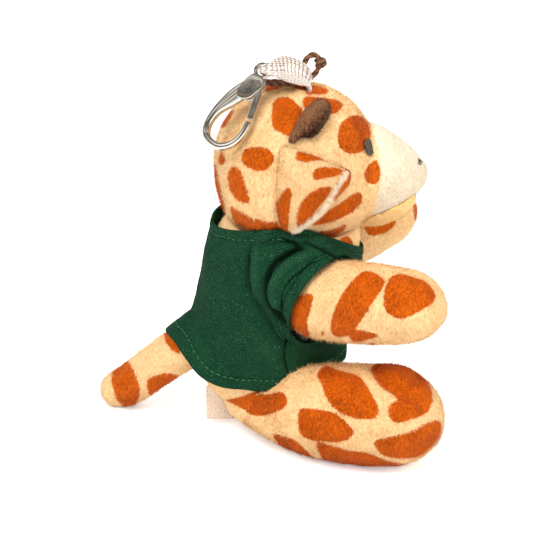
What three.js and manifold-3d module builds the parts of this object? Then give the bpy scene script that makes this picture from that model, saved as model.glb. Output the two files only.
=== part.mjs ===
// A small stuffed giraffe bag charm: a seated plush body in a knitted shirt, hung by a lobster clasp
// from a cotton tape that is sewn into the seam on top of its head.
// Frame: +X is the way the giraffe faces, +Y its left, +Z up, with the floor at zero.
import * as THREE from "three";
import { mergeVertices } from "three/addons/utils/BufferGeometryUtils.js";
import Module from "manifold-3d";

// Driving dimensions: lengths in millimetres, turns in degrees, shares of a size without unit.
const clearance = 0.3; // between two pieces that are sewn, pressed or hinged together
const restFlat = 0.5; // how deep the floor flattens the plush that it carries
const overrun = 3; // how far a cutting form runs past what it cuts
const weld = 0.001;

// Stuffed body and head. The body leans forward from its seat to its neck.
const torso = { base: 3.5, top: 73, long: 45.5, wide: 40 };
const torsoLean = { seatX: -1.2, neckX: 7.2, doneShare: 0.91, seatRound: 17, neckRound: 9 };
const torsoGirthShares = [0.84, 0.95, 0.97, 0.99, 1, 1, 1];
const head = { neckX: 1.8, neckDeep: 9.4, long: 48.5, wide: 46.5, tall: 46 };
const crownSquareShare = 2.1;
const cheekSquareShare = 3.1;
const muzzle = { x: 17.9, z: -4.4, long: 48.8, wide: 37, tall: 30, droopTurn: 7, taperShare: 0.38 };
const jaw = { x: 3.3, z: -3.6, long: 36, wide: 30, tall: 28, droopTurn: 14 };

// Limbs: each a stuffed form with a round end.
const leg = { girth: 30.3, hipX: -2.5, hipY: 9.8, reach: 67, toeLift: 2 };
const legPoses = {
  right: { sideShare: -1, hipTurn: 56, toeTurn: -6 },
  left: { sideShare: 1, hipTurn: 78, toeTurn: 50 },
};
const legGirthShares = [0.58, 0.8, 0.95, 1, 1, 0.97];
const arm = { girth: 22.5, reach: 54, shoulderX: 3, shoulderDown: 26.5, swingTurn: 10 };
const armPoses = {
  right: { sideShare: -1, shoulderY: 13, turn: 42, riseTurn: 8 },
  left: { sideShare: 1, shoulderY: 16.5, turn: 6, riseTurn: 19 },
};
const armGirthShares = [1, 1.02, 1.06, 1.04, 0.94, 0.82];
const tail = { girth: 14.4, reach: 42.8, rootIn: 8.75, rootZ: 31.5, sideTurn: 28, layShare: 0.82 };
const tailGirthShares = [1.05, 1, 0.96, 0.92, 0.92];

// Shirt: one knitted layer, with the hem higher over the tail and the collar up on the sides.
const cloth = { thick: 1.1, ease: 0.8, foldDeep: 0.8 };
const hem = { up: 16.5, sideDip: 3, backRise: 9.5, frontRise: 6, flare: 8 };
const collar = { down: 5.5, sideRise: 3.5, frontDip: 9, flare: 1.2 };
const sleeve = { along: 15, cuffLean: 5.5, rootEase: 5.2, cuffEase: 1.2, foldDeep: 0.9, rootLift: 5 };
const foldCount = 7;
const sleeveFoldCount = 4;
const hemShare = 0.02; // how far a cutter of the shirt runs past its hem and collar

// Flaps and trims sewn into the seam that runs over the head from ear to ear.
const layerShares = [[1, 0], [0.92, 0.6], [0.68, 0.92], [0.3, 1]]; // outline and thickness of a flap
const seam = { back: 9.2, low: -3.3, crown: 12.4, rise: 26 };
const ear = { root: 25.5, reach: 20.5, thick: 2.6, z: -3.2, curl: 2.5, turn: 22 };
const earOutlineShares = [
  [0, -0.5], [0.14, -0.47], [0.36, -0.385], [0.55, -0.25], [0.72, -0.09], [0.86, 0.06],
  [0.98, 0.19], [0.93, 0.27], [0.7, 0.35], [0.45, 0.42], [0.2, 0.475], [0, 0.5],
];
const horn = { wide: 7.2, thick: 2.8, rootX: -5.7, rootZ: 10.3, bow: 2.2 };
const hornTips = { right: { x: 6.8, side: 13.2, z: 21.3 }, left: { x: 6.5, side: 16.5, z: 18.5 } };
const hornOutlineShares = [
  [0, -0.16], [0.12, -0.34], [0.35, -0.5], [0.62, -0.5], [0.84, -0.38], [0.97, -0.16],
  [1, 0.06], [0.95, 0.26], [0.8, 0.42], [0.55, 0.5], [0.28, 0.42], [0.08, 0.27], [0, 0.12],
];
const eye = { wide: 3.4, tall: 6, thick: 0.9, x: 19.6, z: 5.4 };
const label = { wide: 15, tall: 11.5, thick: 0.5, in: 10.15, y: -3.9, z: 4.5, turn: -10 };

// Hanging tape: a flat loop whose ends are sewn in the seam and whose fold goes through the clasp eye.
const tape = { wide: 5, thick: 1.1, span: 15, leanTurn: 27 };
const eyePlace = { x: -11.9, y: -9.1, up: 6.2 }; // from the top of the head
const tapeNearShares = [
  [0.98, 0.26, -0.52], [0.973, 0.247, -0.32], [0.867, 0.207, -0.18], [0.64, 0.107, -0.067],
  [0.4, -0.027, 0.013], [0.213, -0.147, 0.04],
];
const tapeFarShares = [
  [0.227, 0.293, -0.05], [0.493, 0.467, -0.09], [0.773, 0.553, -0.12], [0.933, 0.65, -0.27],
  [0.973, 0.69, -0.51],
];
const tapeWideShares = [
  0.66, 0.75, 0.95, 1, 1, 0.8, 0.5, 0.36, 0.36, 0.5, 0.75, 0.9, 0.9, 0.8, 0.7, 0.66,
];
const tapeThickShares = [1, 1, 1, 1, 1, 1.1, 1.2, 1.3, 1.3, 1.2, 1.1, 1, 1, 1, 1, 1];
const tapeTurns = [90, 45, 0, -45, -90]; // the way of the tape round the wire of the clasp eye
const string = { thick: 1.4, span: 20 };
const stringRouteShares = [
  [0.925, 0.32, -0.015], [0.85, 0.335, -0.145], [0.735, 0.35, -0.235], [0.55, 0.39, -0.258],
  [0.3, 0.4, -0.255], [0.13, 0.35, -0.24], [0.06, 0.25, -0.22], [0.15, 0.205, -0.235],
  [0.35, 0.235, -0.25], [0.55, 0.27, -0.245], [0.635, 0.285, -0.15], [0.67, 0.285, 0],
  [0.73, 0.295, 0.11], [0.815, 0.305, 0.15], [0.88, 0.31, 0.125], [0.915, 0.31, 0.07],
];
const knot = { x: 18.6, y: 6.3, z: 0.6, long: 3, wide: 3, tall: 3.2 };

// Lobster clasp. It lies in a plane of its own, turned back and tilted up to follow the head.
const clasp = { long: 23, band: 2.2, thick: 3.2, turn: 25, tiltTurn: 27 };
const claspPathShares = [
  [-0.085, -0.665], [-0.126, -0.783], [-0.197, -0.897], [-0.304, -0.979], [-0.432, -1.007],
  [-0.537, -0.965], [-0.609, -0.893], [-0.629, -0.803], [-0.605, -0.691], [-0.517, -0.543],
  [-0.382, -0.411], [-0.217, -0.259], [-0.12, -0.15], [-0.052, -0.072],
];
const claspBandShares = [0.95, 0.95, 0.95, 1, 1, 1, 1.05, 1.1, 1.25, 1.7, 2.1, 2.1, 1.5, 1];
const claspEye = { ring: 1.95, wire: 1.3 };
const cheek = { inner: 1.25, thick: 0.7 };
const cheekOutlineShares = [
  [-0.1, -0.06], [0.02, -0.09], [0.05, -0.15], [0.035, -0.24], [-0.03, -0.31], [-0.1, -0.37],
  [-0.2, -0.39], [-0.28, -0.33], [-0.2, -0.16],
];
const gate = { thick: 1.9, wide: 2.5 };
const gatePathShares = [
  [0, -0.13], [-0.006, -0.18], [-0.016, -0.26], [-0.04, -0.43], [-0.083, -0.64],
];
const gateWideShares = [0.95, 1.08, 0.95, 0.88, 0.85];
const slotShares = [[0.12, -0.125], [-0.07, -0.125], [-0.2, -0.43], [-0.12, -0.615], [0.12, -0.615]];
const pivot = { x: -0.2, y: -4.3 };
const rivet = { thick: 0.8, headThick: 0.4, headWide: 2, bore: 1.5 };
const coil = { wire: 0.3, wide: 2, turns: 2, pitch: 0.42, hub: 2.9, from: -0.5 };

const group = new THREE.Group();
group.name = "plush_giraffe";

const wasm = await Module();
wasm.setup();
const rad = THREE.MathUtils.degToRad;
const vec = (x, y, z) => new THREE.Vector3(x, y, z);
const up = vec(0, 0, 1);

// Forms

// The value at a share of the way along a list, on a smooth curve through its entries.
function valueAt(list, share) {
  const place = share * (list.length - 1);
  const i = Math.min(Math.floor(place), list.length - 2);
  const t = place - i;
  const [a, b, c, d] = [i - 1, i, i + 1, i + 2].map((k) => list[Math.min(Math.max(k, 0), list.length - 1)]);
  return b + (t * (c - a + t * (2 * a - 5 * b + 4 * c - d + t * (3 * (b - c) + d - a)))) / 2;
}

// A closed body through rings of points. Its ends close on poles, or on each other when it is looped.
function skin(rings, looped = false) {
  const sides = rings[0].length;
  const points = rings.flat();
  const faces = [];
  const at = (i, j) => (i % rings.length) * sides + (j % sides);
  const spans = looped ? rings.length : rings.length - 1;
  for (let i = 0; i < spans; i++)
    for (let j = 0; j < sides; j++) {
      faces.push(at(i, j), at(i, j + 1), at(i + 1, j + 1));
      faces.push(at(i, j), at(i + 1, j + 1), at(i + 1, j));
    }
  if (!looped)
    for (const i of [0, rings.length - 1]) {
      const pole = points.length;
      points.push(rings[i].reduce((sum, p) => sum.add(p), vec(0, 0, 0)).divideScalar(sides));
      for (let j = 0; j < sides; j++)
        faces.push(pole, ...(i ? [at(i, j), at(i, j + 1)] : [at(i, j + 1), at(i, j)]));
    }
  const geometry = new THREE.BufferGeometry().setFromPoints(points);
  geometry.setIndex(faces);
  return geometry;
}

const circle = (sides, point) => Array.from({ length: sides }, (_, j) => point((2 * Math.PI * j) / sides));
const steps = (count, item) => Array.from({ length: count + 1 }, (_, i) => item(i / count));

// How far a rounded end has opened at a distance from its tip.
const rounding = (fromTip, round) => (fromTip < round ? Math.sqrt(1 - (1 - fromTip / round) ** 2) : 1);

// A puffed ball whose section runs from round towards square, and which can grow slim to the front.
function ball({
  middle, long, wide, tall, squares = [2, 2], droop = 0, taperShare = 0, rows = 12, sides = 20,
}) {
  const turned = new THREE.Quaternion().setFromAxisAngle(vec(0, 1, 0), rad(droop));
  const rings = steps(rows, (share) => {
    const polar = Math.PI * (0.02 + 0.96 * share);
    return circle(sides, (around) => {
      const flat = vec(Math.cos(around), Math.sin(around), 0);
      const way = flat.multiplyScalar(Math.sin(polar)).setZ(-Math.cos(polar));
      const square = THREE.MathUtils.lerp(...squares, THREE.MathUtils.smoothstep(-way.z, -0.5, 0.7));
      const size = way.toArray().reduce((sum, w) => sum + Math.abs(w) ** square, 0) ** (-1 / square);
      const slim = 1 - taperShare * Math.max(0, way.x * size) ** 2;
      way.multiplyScalar(size / 2).multiply(vec(long, wide * slim, tall * slim));
      return way.applyQuaternion(turned).add(middle);
    });
  });
  return skin(rings);
}

// A path run on at both its ends.
function lengthened(path, grow) {
  const past = (end, next) => end.clone().add(end.clone().sub(next).setLength(grow));
  return [past(path[0], path[1]), ...path.slice(1, -1), past(path.at(-1), path.at(-2))];
}

// A stuffed form: an oval section swept along a curve, swelling by its girth shares, with round ends.
function sweep({
  path, side, girth, riseGirth = girth, shares = [1, 1], riseShares = shares, rows = 12, sides = 16,
  round = girth / 2, grow = 0,
}) {
  const curve = new THREE.CatmullRomCurve3(lengthened(path, grow));
  const long = curve.getLength();
  return skin(
    steps(rows, (step) => {
      const share = (1 - Math.cos(Math.PI * (0.04 + 0.92 * step))) / 2;
      const fromTip = Math.min(share, 1 - share) * long;
      const opened = rounding(fromTip, round + grow);
      const wide = (girth / 2) * valueAt(shares, share) + grow;
      const tall = (riseGirth / 2) * valueAt(riseShares, share) + grow;
      const along = curve.getTangentAt(share);
      const across = side.clone().addScaledVector(along, -side.dot(along)).normalize();
      const rise = along.clone().cross(across);
      return circle(sides, (around) =>
        curve
          .getPointAt(share)
          .addScaledVector(across, wide * opened * Math.cos(around))
          .addScaledVector(rise, tall * opened * Math.sin(around)),
      );
    }),
  );
}

// Joining and cutting

function toSolid(geometry) {
  const plain = geometry.index ? geometry.clone() : geometry;
  for (const name of ["normal", "uv"]) plain.deleteAttribute(name);
  const merged = mergeVertices(plain, weld);
  const vertProperties = merged.getAttribute("position").array;
  return new wasm.Manifold(new wasm.Mesh({ numProp: 3, vertProperties, triVerts: merged.index.array }));
}

function toGeometry(solid) {
  const { vertProperties, triVerts } = solid.getMesh();
  const geometry = new THREE.BufferGeometry();
  geometry.setAttribute("position", new THREE.BufferAttribute(vertProperties, 3));
  geometry.setIndex(new THREE.BufferAttribute(triVerts, 1));
  return geometry;
}

const cut = (geometry, ...cutters) =>
  toGeometry(cutters.reduce((solid, cutter) => solid.subtract(toSolid(cutter)), toSolid(geometry)));
const join = (...parts) => toGeometry(parts.map(toSolid).reduce((all, part) => all.add(part)));

// Materials and parts

function finish(color, roughness, metalness = 0) {
  return new THREE.MeshStandardMaterial({ color, roughness, metalness });
}
const plush = finish("#efc48c", 0.95);
const muzzlePlush = finish("#ddc7a4", 0.95);
const brownPlush = finish("#5a3220", 0.95);
const knit = finish("#17452c", 0.9);
const cotton = finish("#e6d5c6", 0.9);
const stitched = finish("#3b3a3c", 0.6);
const polished = finish("#c9c6c0", 0.25, 1);
const twine = finish("#7d4e33", 0.9);

function place(name, geometry, material) {
  geometry.computeVertexNormals();
  const mesh = new THREE.Mesh(geometry, material.clone());
  mesh.name = name;
  group.add(mesh);
  return mesh;
}

// The floor, as a slab that cuts whatever is pressed flat on it.
const slabWide = 4 * torso.top;
const floorSlab = new THREE.BoxGeometry(slabWide, slabWide, torso.top).translate(0, 0, -torso.top / 2);

// Torso section at a share of its height, grown outwards by a distance.
function torsoRadius(share) {
  return valueAt(torsoGirthShares, Math.min(Math.max(share, 0), 1));
}
const torsoTall = torso.top - torso.base;
const torsoX = (share) =>
  THREE.MathUtils.lerp(torsoLean.seatX, torsoLean.neckX, Math.min(share / torsoLean.doneShare, 1));
function torsoPoint(share, around, grow) {
  const swell = torsoRadius(share);
  return vec(
    torsoX(share) + ((torso.long / 2) * swell + grow) * Math.cos(around),
    ((torso.wide / 2) * swell + grow) * Math.sin(around),
    torso.base + torsoTall * share,
  );
}
function torsoForm(grow = 0) {
  return skin(
    steps(13, (step) => {
      const share = (1 - Math.cos(Math.PI * (0.03 + 0.94 * step))) / 2;
      const low = rounding(share * torsoTall, torsoLean.seatRound);
      const high = rounding((1 - share) * torsoTall, torsoLean.neckRound);
      return circle(20, (around) => {
        const point = torsoPoint(share, around, 0);
        const middle = vec(torsoX(share), 0, point.z);
        const out = point.clone().sub(middle);
        return middle
          .addScaledVector(out, Math.min(low, high) * (1 + grow / out.length()))
          .add(vec(0, 0, grow * (2 * share - 1)));
      });
    }),
  );
}

// The head sits on the neck, which runs up into it.
const headMiddle = vec(torsoLean.neckX + head.neckX, 0, torso.top - head.neckDeep + head.tall / 2);
const headForm = (grow = 0) =>
  ball({
    middle: headMiddle,
    long: head.long + 2 * grow,
    wide: head.wide + 2 * grow,
    tall: head.tall + 2 * grow,
    squares: [crownSquareShare, cheekSquareShare],
    rows: 15,
    sides: 24,
  });
const muzzleForm = (grow = 0) =>
  ball({
    middle: headMiddle.clone().add(vec(muzzle.x, 0, muzzle.z)),
    long: muzzle.long + 2 * grow,
    wide: muzzle.wide + 2 * grow,
    tall: muzzle.tall + 2 * grow,
    droop: muzzle.droopTurn,
    taperShare: muzzle.taperShare,
  });
const jawForm = ball({
  middle: headMiddle.clone().add(vec(muzzle.x + jaw.x, 0, muzzle.z + jaw.z)),
  droop: jaw.droopTurn,
  long: jaw.long,
  wide: jaw.wide,
  tall: jaw.tall,
  rows: 10,
  sides: 18,
});

place("head", headForm(), plush);
place("muzzle", cut(muzzleForm(), headForm(clearance), torsoForm(clearance)), muzzlePlush);
place("jaw", cut(jawForm, headForm(clearance), muzzleForm(clearance), torsoForm(clearance)), plush);

// A path over the ground that turns steadily from one heading to another.
function bentPath(start, sideShare, reach, fromTurn, toTurn, height) {
  const spot = start.clone();
  const count = 8;
  return steps(count, (share) => {
    const turn = rad(fromTurn + (toTurn - fromTurn) * share);
    const point = spot.clone().setZ(height(share));
    spot.add(vec(Math.cos(turn), sideShare * Math.sin(turn), 0).multiplyScalar(reach / (count + 1)));
    return point;
  });
}

// Legs lie on the floor, splayed and bent forwards, with the feet turned up a little.
function legForm({ sideShare, hipTurn, toeTurn }, grow = 0) {
  const height = (share) => {
    const lift = leg.toeLift * Math.max(0, 2 * share - 1) ** 2;
    return (leg.girth / 2) * valueAt(legGirthShares, share) - restFlat + lift;
  };
  const hip = vec(leg.hipX, sideShare * leg.hipY, 0);
  return sweep({
    path: bentPath(hip, sideShare, leg.reach, hipTurn, toeTurn, height),
    side: up,
    girth: leg.girth,
    grow,
    shares: legGirthShares,
    rows: 14,
    sides: 18,
  });
}
for (const [hand, pose] of Object.entries(legPoses))
  place(`leg_${hand}`, cut(legForm(pose), torsoForm(clearance), floorSlab), plush);

// An arm points out from its shoulder. Its root is a ball that sits in a socket of the torso.
function armWay({ sideShare, turn, riseTurn }) {
  const flat = vec(Math.cos(rad(turn)), sideShare * Math.sin(rad(turn)), 0);
  return flat.multiplyScalar(Math.cos(rad(riseTurn))).setZ(Math.sin(rad(riseTurn)));
}
const shoulder = ({ sideShare, shoulderY }) =>
  vec(arm.shoulderX, sideShare * shoulderY, torso.top - arm.shoulderDown);
const armPath = (pose) =>
  [0, 0.35, 0.7, 1].map((share) => shoulder(pose).addScaledVector(armWay(pose), share * arm.reach));
const armForm = (pose, grow = 0, tallShares = armGirthShares) =>
  sweep({
    path: armPath(pose),
    side: up,
    girth: arm.girth,
    grow,
    shares: tallShares,
    riseShares: armGirthShares,
  });

// The socket is the arm grown by its clearance, and opened up and down for its swing.
function socket(pose) {
  const spread = (2 * Math.tan(rad(arm.swingTurn))) / arm.girth;
  const openShares = armGirthShares.map((share, i) => {
    const fromBall = (arm.reach * i) / (armGirthShares.length - 1) - arm.girth / 2;
    return share + spread * Math.max(0, fromBall);
  });
  return armForm(pose, 2 * clearance, openShares);
}
place("torso", cut(torsoForm(), headForm(clearance), ...Object.values(armPoses).map(socket)), plush);
for (const [hand, pose] of Object.entries(armPoses)) place(`arm_${hand}`, armForm(pose), plush);

// The tail slopes from the back down to the floor, where its tip rests.
function tailForm(grow = 0) {
  const way = vec(-Math.cos(rad(tail.sideTurn)), Math.sin(rad(tail.sideTurn)), 0);
  const low = (tail.girth / 2) * tailGirthShares.at(-1) - restFlat;
  const rootX = tail.rootIn - torso.long / 2;
  const rootZ = torso.base + tail.rootZ;
  const path = [0, 0.28, 0.56, 0.84, 1].map((share) =>
    vec(rootX, 0, low + (rootZ - low) * Math.max(0, 1 - share / tail.layShare))
      .addScaledVector(way, share * tail.reach),
  );
  return sweep({
    path,
    side: vec(way.y, -way.x, 0),
    girth: tail.girth,
    grow,
    shares: tailGirthShares,
    sides: 12,
  });
}
place("tail", cut(tailForm(), torsoForm(clearance), floorSlab), plush);

// Shirt

// How far the knit stands off the body, with its folds running from hem to shoulder.
const hemHeight = (around) => {
  const rise =
    hem.backRise * Math.max(0, -Math.cos(around)) ** 6 + (hem.frontRise * (1 + Math.cos(around))) / 2;
  return torso.base + hem.up + rise - hem.sideDip * Math.sin(around) ** 2;
};
const collarHeight = (around) => {
  const dip = collar.frontDip * Math.max(0, Math.cos(around));
  return torso.top - collar.down + collar.sideRise * Math.sin(around) ** 2 - dip;
};
function clothPoint(share, around, off) {
  const low = hemHeight(around);
  const z = low + (collarHeight(around) - low) * share;
  const fold = cloth.foldDeep * Math.sin(foldCount * around + 2 * share) * (1 - share) ** 2;
  const flare = hem.flare * Math.max(0, -Math.cos(around)) ** 3 * (1 - share) ** 5;
  const tuck = collar.flare * Math.max(0, 4 * share - 3);
  const out = off + cloth.foldDeep + fold + flare - tuck;
  return torsoPoint((z - torso.base) / torsoTall, around, out).setZ(z);
}
// The shirt as a wall between two offsets from the torso.
function clothForm(inner, outer, rows = 6, sides = 28) {
  const wall = (off, list) =>
    list.map((share) => circle(sides, (around) => clothPoint(share, around, off)));
  const shares = steps(rows, (share) => share);
  return skin([...wall(outer, shares), ...wall(inner, shares.toReversed())], true);
}
// Sleeve wall at an ease over the arm; the cuff leans so that its upper edge reaches further out.
function sleeveRing(pose, share, off, sides = 20) {
  const curve = new THREE.CatmullRomCurve3(armPath(pose));
  const long = curve.getLength();
  return circle(sides, (around) => {
    const reach = sleeve.along * share + sleeve.cuffLean * share * Math.cos(around);
    const part = Math.min(Math.max(reach / long, 0), 1);
    const along = curve.getTangentAt(part);
    const rise = up.clone().addScaledVector(along, -up.dot(along)).normalize();
    const across = along.clone().cross(rise);
    const ease = THREE.MathUtils.lerp(sleeve.rootEase, sleeve.cuffEase, Math.min(share * 1.2, 1));
    const wave = Math.sin(sleeveFoldCount * around + 7 * share) * Math.sin(Math.PI * share);
    const radius = (arm.girth / 2) * valueAt(armGirthShares, part) + ease + off + sleeve.foldDeep * wave;
    const lift = sleeve.rootLift * (1 - share);
    return curve
      .getPointAt(part)
      .addScaledVector(rise, radius * Math.cos(around) + lift)
      .addScaledVector(across, radius * Math.sin(around));
  });
}
function sleeveForm(pose, inner, outer) {
  const shares = steps(5, (share) => share);
  return skin(
    [
      ...shares.map((share) => sleeveRing(pose, share, outer)),
      ...shares.toReversed().map((share) => sleeveRing(pose, share, inner)),
    ],
    true,
  );
}
const sleevePlug = (pose) => skin(steps(5, (share) => sleeveRing(pose, share, 0)));
const clothOff = cloth.ease + cloth.thick + clearance;
const clothSolid = skin(
  steps(6, (share) =>
    circle(28, (around) => clothPoint(share * (1 + 2 * hemShare) - hemShare, around, clothOff)),
  ),
);
place(
  "shirt_body",
  cut(
    clothForm(cloth.ease, cloth.ease + cloth.thick),
    sleevePlug(armPoses.right),
    sleevePlug(armPoses.left),
    socket(armPoses.right),
    socket(armPoses.left),
    legForm(legPoses.right, clearance),
    legForm(legPoses.left, clearance),
    tailForm(clearance),
    headForm(clearance),
  ),
  knit,
);
for (const [hand, pose] of Object.entries(armPoses))
  place(`sleeve_${hand}`, cut(sleeveForm(pose, 0, cloth.thick), clothSolid, headForm(clearance)), knit);

// Flaps sewn in the seam over the head

// A puffed leaf: two plush layers sewn round an outline, laid out from its root along x, wide along y.
function leaf({ outline, long, wide, thick, bend }) {
  const ring = (scale, height) =>
    outline.map(([a, b]) =>
      bend(long * (0.45 + (a - 0.45) * scale), wide * b * scale, (thick / 2) * height),
    );
  return skin([
    ...layerShares.toReversed().map(([scale, height]) => ring(scale, -height)),
    ...layerShares.slice(1).map(([scale, height]) => ring(scale, height)),
  ]);
}
const mirrored = (geometry) => {
  const turned = geometry.clone().scale(1, -1, 1);
  const index = turned.index.array;
  for (let k = 0; k < index.length; k += 3) [index[k + 1], index[k + 2]] = [index[k + 2], index[k + 1]];
  return turned;
};

// A point on the right side of the head, at a place ahead of and above its middle, and the way out of it.
function onHead(x, z) {
  const square = THREE.MathUtils.lerp(crownSquareShare, cheekSquareShare, z < 0 ? 0.5 : 0.1);
  const left = 1 - Math.abs((2 * x) / head.long) ** square - Math.abs((2 * z) / head.tall) ** square;
  return vec(x, (-head.wide / 2) * Math.max(left, 0) ** (1 / square), z).add(headMiddle);
}
function outOfHead(x, z) {
  const reach = onHead(x, z).sub(headMiddle);
  return vec(reach.x / head.long ** 2, reach.y / head.wide ** 2, reach.z / head.tall ** 2).normalize();
}
const seamX = (z) => seam.crown * Math.max(0, (z - seam.low) / seam.rise) ** 2 - seam.back;

// The ear is sewn in along the seam and folds forwards over the side of the head.
const earForward = vec(Math.cos(rad(ear.turn)), -Math.sin(rad(ear.turn)), 0);
const earOut = vec(-Math.sin(rad(ear.turn)), -Math.cos(rad(ear.turn)), 0);
const earRoot = (b) => onHead(seamX(ear.z + b), ear.z + b);
const earForm = leaf({
  outline: earOutlineShares,
  long: ear.reach,
  wide: ear.root,
  thick: ear.thick,
  bend: (a, b, n) =>
    earRoot(b)
      .addScaledVector(earForward, a)
      .addScaledVector(earOut, n + ear.thick / 2 + clearance - ear.curl * (a / ear.reach) ** 2),
});
place("ear_right", cut(earForm, headForm(clearance), clothSolid), plush);
place("ear_left", cut(mirrored(earForm), headForm(clearance), clothSolid), plush);

// Horns are brown leaves sewn in just above the ears and laid forwards over the brow.
function hornForm({ x, side, z }) {
  const root = onHead(horn.rootX, horn.rootZ);
  const tip = headMiddle.clone().add(vec(x, -side, z));
  const along = tip.clone().sub(root);
  const long = along.length();
  const out = root.clone().add(tip).divideScalar(2).sub(headMiddle).normalize();
  const across = out.clone().cross(along).normalize();
  return leaf({
    outline: hornOutlineShares,
    long,
    wide: horn.wide,
    thick: horn.thick,
    bend: (a, b, n) => {
      const bow = (4 * horn.bow * a * (long - a)) / long ** 2;
      return root
        .clone()
        .addScaledVector(along, a / long)
        .addScaledVector(across, b)
        .addScaledVector(out, n + (horn.thick * a) / (2 * long) + bow);
    },
  });
}
place("horn_right", cut(hornForm(hornTips.right), headForm(clearance)), brownPlush);
place("horn_left", cut(mirrored(hornForm(hornTips.left)), headForm(clearance)), brownPlush);

// Eyes are small domed ovals stitched on the face beside the muzzle.
const eyeOut = outOfHead(eye.x, eye.z);
const eyeAcross = up.clone().cross(eyeOut).normalize();
const eyeRise = eyeOut.clone().cross(eyeAcross);
const eyeForm = leaf({
  outline: circle(12, (around) => [0.45 + Math.cos(around) / 2, Math.sin(around) / 2]),
  long: eye.wide,
  wide: eye.tall,
  thick: eye.thick,
  bend: (a, b, n) =>
    onHead(eye.x, eye.z)
      .addScaledVector(eyeAcross, a - 0.45 * eye.wide)
      .addScaledVector(eyeRise, b)
      .addScaledVector(eyeOut, n + eye.thick / 2),
});
place("eye_right", cut(eyeForm, headForm(clearance), muzzleForm(clearance)), stitched);
place("eye_left", cut(mirrored(eyeForm), headForm(clearance), muzzleForm(clearance)), stitched);

// The care label is a bare strip sewn under the seat, turned out behind the right leg.
const labelForm = new THREE.BoxGeometry(label.wide, label.thick, label.tall)
  .rotateZ(rad(label.turn))
  .translate(label.in - torso.long / 2, label.y, torso.base + label.z);
place(
  "label",
  cut(labelForm, torsoForm(clearance), legForm(legPoses.right, clearance), clothSolid),
  cotton,
);

// Clasp, in its own plane: across to the face's side, rise towards the crown, out away from the head

const claspOut = vec(
  -Math.sin(rad(clasp.turn)) * Math.cos(rad(clasp.tiltTurn)),
  -Math.cos(rad(clasp.turn)) * Math.cos(rad(clasp.tiltTurn)),
  Math.sin(rad(clasp.tiltTurn)),
);
const claspRise = up.clone().addScaledVector(claspOut, -claspOut.z).normalize();
const claspAcross = claspRise.clone().cross(claspOut);
const eyeMiddle = vec(eyePlace.x, eyePlace.y, head.tall / 2 + eyePlace.up).add(headMiddle);
const inClasp = (across, rise, out = 0) =>
  eyeMiddle
    .clone()
    .addScaledVector(claspAcross, across)
    .addScaledVector(claspRise, rise)
    .addScaledVector(claspOut, out);
const claspFrame = new THREE.Matrix4()
  .makeBasis(claspAcross, claspRise, claspOut)
  .setPosition(eyeMiddle);
const seated = (geometry) => geometry.applyMatrix4(claspFrame);
const scaled = (list) => list.map(([across, rise]) => inClasp(across * clasp.long, rise * clasp.long));
const plateOf = (outlineShares, thick, from) => {
  const outline = outlineShares.map(([a, b]) => new THREE.Vector2(a * clasp.long, b * clasp.long));
  const shape = new THREE.Shape(outline.toReversed());
  const plate = new THREE.ExtrudeGeometry(shape, { depth: thick, bevelEnabled: false });
  return seated(plate.translate(0, 0, from));
};
const pin = (wide, thick, sides = 16) =>
  seated(
    new THREE.CylinderGeometry(wide / 2, wide / 2, thick, sides)
      .rotateX(Math.PI / 2)
      .translate(pivot.x, pivot.y, 0),
  );

const gateBar = sweep({
  path: scaled(gatePathShares),
  side: claspOut,
  girth: gate.thick,
  riseGirth: gate.wide,
  shares: [1, 1],
  riseShares: gateWideShares,
  rows: 9,
  sides: 10,
  round: gate.wide / 5,
});
const claspBody = cut(
  join(
    sweep({
      path: scaled(claspPathShares),
      side: claspOut,
      girth: clasp.thick,
      riseGirth: clasp.band,
      shares: [1, 1],
      riseShares: claspBandShares,
      rows: 32,
      sides: 10,
      round: clasp.band / 5,
    }),
    plateOf(cheekOutlineShares, cheek.thick, cheek.inner),
    plateOf(cheekOutlineShares, cheek.thick, -cheek.inner - cheek.thick),
    seated(new THREE.TorusGeometry(claspEye.ring, claspEye.wire / 2, 8, 22)),
  ),
  plateOf(slotShares, 2 * cheek.inner, -cheek.inner),
  pin(rivet.bore, 2 * overrun),
);
place("clasp_body", claspBody, polished);

const hub = seated(
  new THREE.CylinderGeometry(coil.hub / 2, coil.hub / 2, gate.thick, 18)
    .rotateX(Math.PI / 2)
    .translate(pivot.x, pivot.y, gate.thick / 2 + coil.from),
);
place("clasp_gate", cut(gateBar, pin(rivet.bore, 2 * overrun), hub), polished);

const half = cheek.inner + cheek.thick + clearance;
const rivetProfile = [
  [0, -half - rivet.headThick], [rivet.headWide / 2, -half - rivet.headThick], [rivet.headWide / 2, -half],
  [rivet.thick / 2, -half], [rivet.thick / 2, half], [rivet.headWide / 2, half],
  [rivet.headWide / 2, half + rivet.headThick], [0, half + rivet.headThick],
].map(([radius, rise]) => new THREE.Vector2(radius, rise));
place(
  "clasp_rivet",
  seated(
    new THREE.LatheGeometry(rivetProfile, 16).rotateX(Math.PI / 2).translate(pivot.x, pivot.y, 0),
  ),
  polished,
);

const coilPath = steps(20, (share) => {
  const around = 2 * Math.PI * coil.turns * share;
  const radius = (coil.wide - coil.wire) / 2;
  return inClasp(
    pivot.x + radius * Math.cos(around),
    pivot.y + radius * Math.sin(around),
    coil.from + clearance + coil.wire / 2 + coil.pitch * coil.turns * share,
  );
});
place(
  "clasp_spring",
  sweep({ path: coilPath, side: claspOut, girth: coil.wire, rows: 34, sides: 6, round: coil.wire / 2 }),
  polished,
);

// Tape and string

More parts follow.
